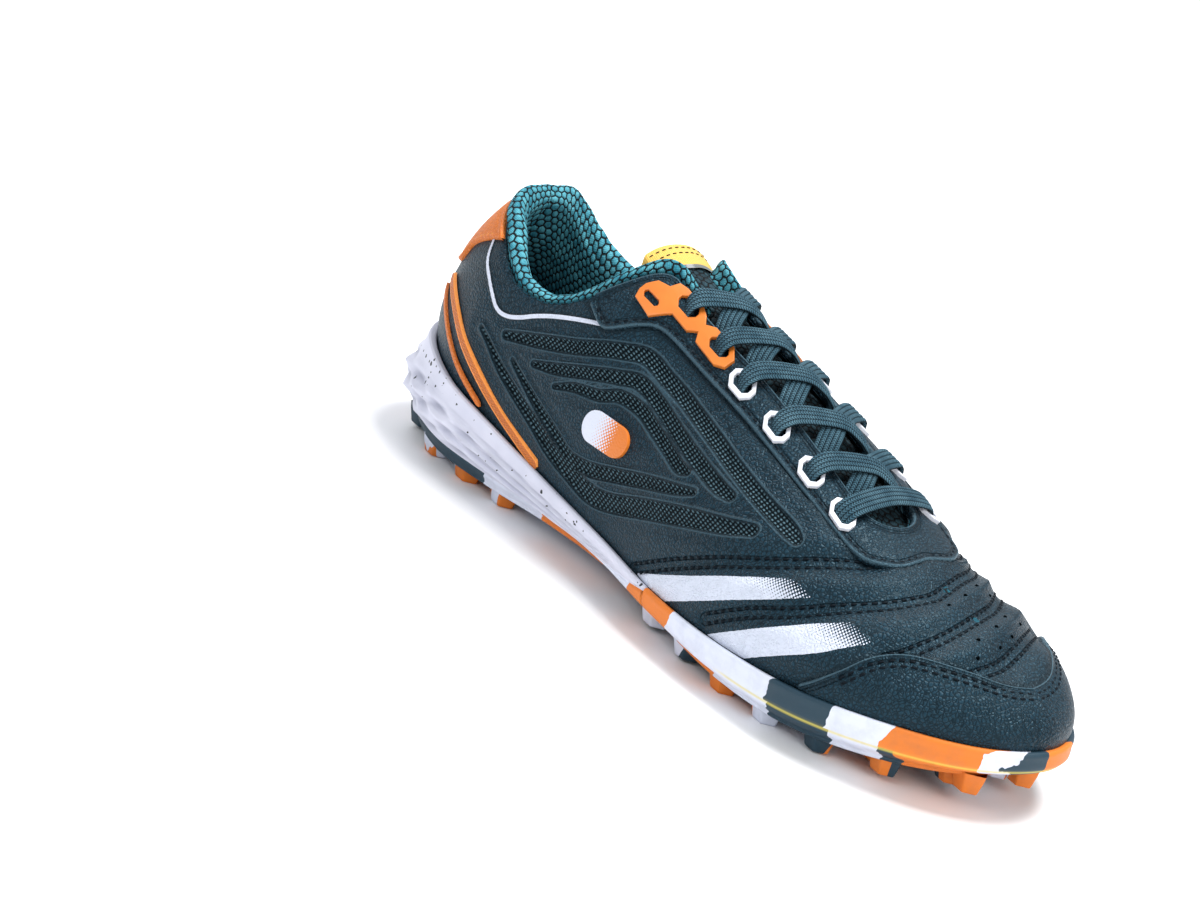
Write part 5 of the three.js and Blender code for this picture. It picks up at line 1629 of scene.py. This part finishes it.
def foam_side(q_row, side, wall_d, wall_z, border, cut):
    """Foam over the border: places, height in the foam and relief."""
    count = int(52 * FINE)
    d, z = wall_part(wall_d, wall_z, cut, np.ones_like(cut), count)
    q = np.repeat(q_row[:, None], count, 1)
    over = z - border[:, None]
    up = np.clip(over / np.maximum((wall_z[:, -4] - border)[:, None], 1.0), 0, 1)
    relief = heel_ribs(q, up)
    d = d + relief - 0.5 * np.exp(-(over / 0.5) ** 2)
    keep = np.nonzero(cut < 0.999)[0]
    keep = np.concatenate([keep, [min(keep[-1] + 1, len(cut) - 1)]])
    return [a[keep] for a in (side_point(q, side, d, z), up, relief)]


def rubber_side(q_row, side, wall_d, wall_z, border, cut):
    """Rubber under the border with its half of the underside: places and their four values."""
    count = int(44 * FINE)
    d, z = wall_part(wall_d, wall_z, np.zeros_like(cut), cut, count)
    q = np.repeat(q_row[:, None], count, 1)
    close = np.where(cut[:, None] < 0.999, z - border[:, None], 9.0)
    middle = mix(z_share(UNDER, q_row), z_share(FOOT_Z, q_row), 0.45)[:, None]
    d = d - 0.5 * np.exp(-(close / 0.5) ** 2)
    d = d - 0.45 * smooth(q, 6.3, 6.9) * np.exp(-((z - middle) / 0.45) ** 2)
    wall = side_point(q, side, d, z)
    inner = np.linspace(0, 1, int(14 * FINE) + 2)[:-1]
    floor = mix(spine(q_row, z_share(UNDER, q_row))[:, None], wall[:, :1], inner[None, :, None])
    whole = np.concatenate([floor, wall], 1)
    tread = np.zeros(whole.shape[:2])
    tread[:, :len(inner) + 4] = 1
    web = tread * (smooth(whole[..., 0], 8, 14) * smooth(-whole[..., 0], -86, -80)
                   + smooth(whole[..., 0], 152, 158) * smooth(-whole[..., 0], -280, -274))
    above = np.concatenate([np.full((len(q), len(inner)), -5.0), z - middle], 1)
    front = smooth(np.repeat(q_row[:, None], whole.shape[1], 1), 7.0, 7.3)
    level = (above < -2.2 * (1 - front)).astype(float)
    yellow = front * np.exp(-(above / 0.35) ** 2) * (1 - tread)
    return whole, level, yellow, tread, web


def make_sole():
    q_row = even_stations(0, LAST_ROW, 1.1, 0.999)
    wall_d, wall_z, s = wall_profile(q_row, int(96 * FINE))
    foam_parts, rubber_parts = [], []
    for side in SIDES:
        x, _, _, nx, _ = foot(q_row, side)
        border = split_height(x + nx * y_share(FLARE, q_row))
        cut = border_share(wall_z, s, border, z_share(FOOT_Z, q_row))
        foam_parts.append(foam_side(q_row, side, wall_d, wall_z, border, cut))
        rubber_parts.append(rubber_side(q_row, side, wall_d, wall_z, border, cut))
    pts, faces, level, relief = halves(foam_parts)
    obj = build("midsole_wedge", pts, faces, FOAM_LOOK, "midsole_foam", "midsole", level=level, relief=relief)
    cleaned(obj, True)
    lugs, lug_faces = lug_mesh()
    pad = np.zeros(len(lugs))
    whole = joined([halves(rubber_parts), (lugs, lug_faces, pad + 1, pad, pad + 1, pad)])
    values = dict(zip(("level", "yellow", "tread", "web"), whole[2:]))
    obj = build("outsole_tread", *whole[:2], RUBBER_LOOK, "outsole_rubber", "outsole", **values)
    cleaned(obj, True)
    obj.data.polygons.foreach_set("use_smooth", [len(f.vertices) < 5 for f in obj.data.polygons])


LUG_ZONES = [(0.036, 0.267), (0.544, 0.964)]
LUG_PITCH = LUG_SIZE * 0.92
LUG_ACROSS = LUG_SIZE * 2.15


def half_width(x, side):
    a, b = 0.0, float(LAST_ROW)
    for _ in range(30):
        m = (a + b) / 2
        if foot(m, side)[0] < x:
            a = m
        else:
            b = m
    return a, abs(float(foot(a, side)[1])) - float(y_share(TUCK, a))


def lug_mesh():
    bm = bmesh.new()
    shape = [(0.5, 0), (0.12, 0.5), (-0.5, 0.4), (-0.5, -0.4), (0.12, -0.5)]
    for zone in LUG_ZONES:
        start, stop = (LAST_BACK + v * LAST_LENGTH for v in zone)
        count = round((stop - start) / LUG_PITCH)
        for i in range(count + 1):
            x0 = mix(start, stop, i / count)
            lat, med = half_width(x0, LATERAL)[1], half_width(x0, MEDIAL)[1]
            full = max(2, int((lat + med - LUG_SIZE) / LUG_ACROSS + 0.4) + 1)
            for k in range(full - i % 2):
                f = (k + (i % 2) / 2) / (full - 1)
                y = mix(LUG_SIZE * 0.55 - lat, med - LUG_SIZE * 0.55, f)
                x = x0 - (abs(f - 0.5) - 0.25) * LUG_SIZE * 0.4
                under = float(z_share(UNDER, half_width(x, -1 if y < 0 else 1)[0]))
                low, top = max(0.0, under - LUG_HEIGHT), under + LUG_HEIGHT * 0.5
                rings = []
                for scale, z in ((1.0, top), (0.93, under), (0.71, low)):
                    rings.append([bm.verts.new((x + a * LUG_SIZE * scale, y + b * LUG_SIZE * 0.94 * scale, z))
                                  for a, b in shape])
                for upper, lower in zip(rings, rings[1:]):
                    for j in range(5):
                        bm.faces.new((upper[j], upper[(j + 1) % 5], lower[(j + 1) % 5], lower[j]))
                bm.faces.new(rings[-1])
    bm.normal_update()
    edges = [e for e in bm.edges if len(e.link_faces) == 2 and e.calc_face_angle(0) > 0.5]
    bmesh.ops.bevel(bm, geom=edges, offset=0.55, segments=2, profile=0.6, affect="EDGES", clamp_overlap=True)
    return taken_out(bm)


def make_insole():
    q_row = even_stations(0, LAST_ROW, 3.0, 0.999)
    rows = np.linspace(0, 1, 22)
    bed = z_share(BED, q_row)
    rise = 1.6 * smooth(rows, 0.75, 1.0)[None, :] * smooth(-q_row, -6.0, -3.0)[:, None] - 0.3
    parts = []
    for side in SIDES:
        rim = lifted(q_row, np.full_like(q_row, side * 2.0), np.full_like(q_row, -2.2))
        rim[:, 2] = bed + 4.3
        grid = mix(spine(q_row, bed + 3.7)[:, None], rim[:, None], rows[None, :, None])
        grid[..., 2] += rise
        parts.append([grid])
    pts, faces = halves(parts)
    cleaned(build("insole_top", pts, [f[::-1] for f in faces], INSOLE_LOOK, "insole_cloth", "insole"), True)


# Floor, light and camera
def make_stage():
    mesh = bpy.data.meshes.new("floor")
    r = 12.0
    mesh.from_pydata([(-r, -r, 0), (r, -r, 0), (r, r, 0), (-r, r, 0)], [], [(0, 1, 2, 3)])
    floor = bpy.data.objects.new("floor", mesh)
    bpy.context.scene.collection.objects.link(floor)
    s = Shader("floor")
    tone = s.noise(s.place(), 3.0, 2.0)
    mesh.materials.append(s.set(color=s.mix(tone, (0.86, 0.86, 0.87), (0.9, 0.9, 0.905)), rough=0.75))

    world = bpy.data.worlds.new("studio")
    bpy.context.scene.world = world
    world.use_nodes = True
    world.node_tree.nodes["Background"].inputs[0].default_value = (0.93, 0.96, 1.0, 1)
    world.node_tree.nodes["Background"].inputs[1].default_value = 0.55

    def area(name, place, size, power, color=(1, 1, 1), aim=(0, 0, 0.04)):
        light = bpy.data.lights.new(name, "AREA")
        light.shape = "RECTANGLE"
        light.size, light.size_y = size
        light.energy = power
        light.color = color
        obj = bpy.data.objects.new(name, light)
        bpy.context.scene.collection.objects.link(obj)
        obj.location = place
        obj.rotation_euler = (Vector(aim) - Vector(place)).to_track_quat("-Z", "Y").to_euler()

    area("key", (0.15, 0.25, 1.1), (0.6, 0.45), 17.0)
    area("front", (0.1, -1.1, 0.9), (0.8, 0.5), 5.0, (0.97, 0.98, 1.0))
    area("toe", (1.1, -0.1, 0.55), (0.5, 0.5), 5.0, (1.0, 0.99, 0.97))
    area("back", (-0.9, 0.3, 0.8), (0.8, 0.6), 5.0, (0.96, 0.98, 1.0))


def make_camera():
    az, el, roll = (math.radians(v) for v in (43.2055, 20.2379, 16.9016))
    # Distance in millimetres, pixels of the photo for each millimetre, and where the target lies in it
    dist, scale, cx, cy = 1639.338, 3.177903, 747.457, 479.943
    target = np.array([145.0, 0, 45.0])
    width, height, sensor = 1200, 900, 36.0
    back = np.array([math.sin(az) * math.cos(el), -math.cos(az) * math.cos(el), math.sin(el)])
    right = np.array([math.cos(az), math.sin(az), 0])
    up = np.cross(back, right)
    r = math.cos(roll) * right + math.sin(roll) * up
    u = -math.sin(roll) * right + math.cos(roll) * up
    place = target + back * dist - r * (cx - width / 2) / scale + u * (cy - height / 2) / scale
    data = bpy.data.cameras.new("camera")
    data.sensor_width = sensor
    data.lens = scale * dist / width * sensor
    data.clip_end = 50
    camera = bpy.data.objects.new("camera", data)
    bpy.context.scene.collection.objects.link(camera)
    camera.rotation_euler = Matrix(np.stack([r, u, back], -1).tolist()).to_euler()
    camera.location = (place + SHIFT) / 1000
    bpy.context.scene.camera = camera


make_stage()
make_camera()
make_skin()
make_overlays()
make_stripes()
make_collar()
make_tongue()
make_plates()
make_laces()
make_sole()
make_insole()
make_stitches()
make_perforations()

bpy.context.scene.view_settings.view_transform = "Standard"
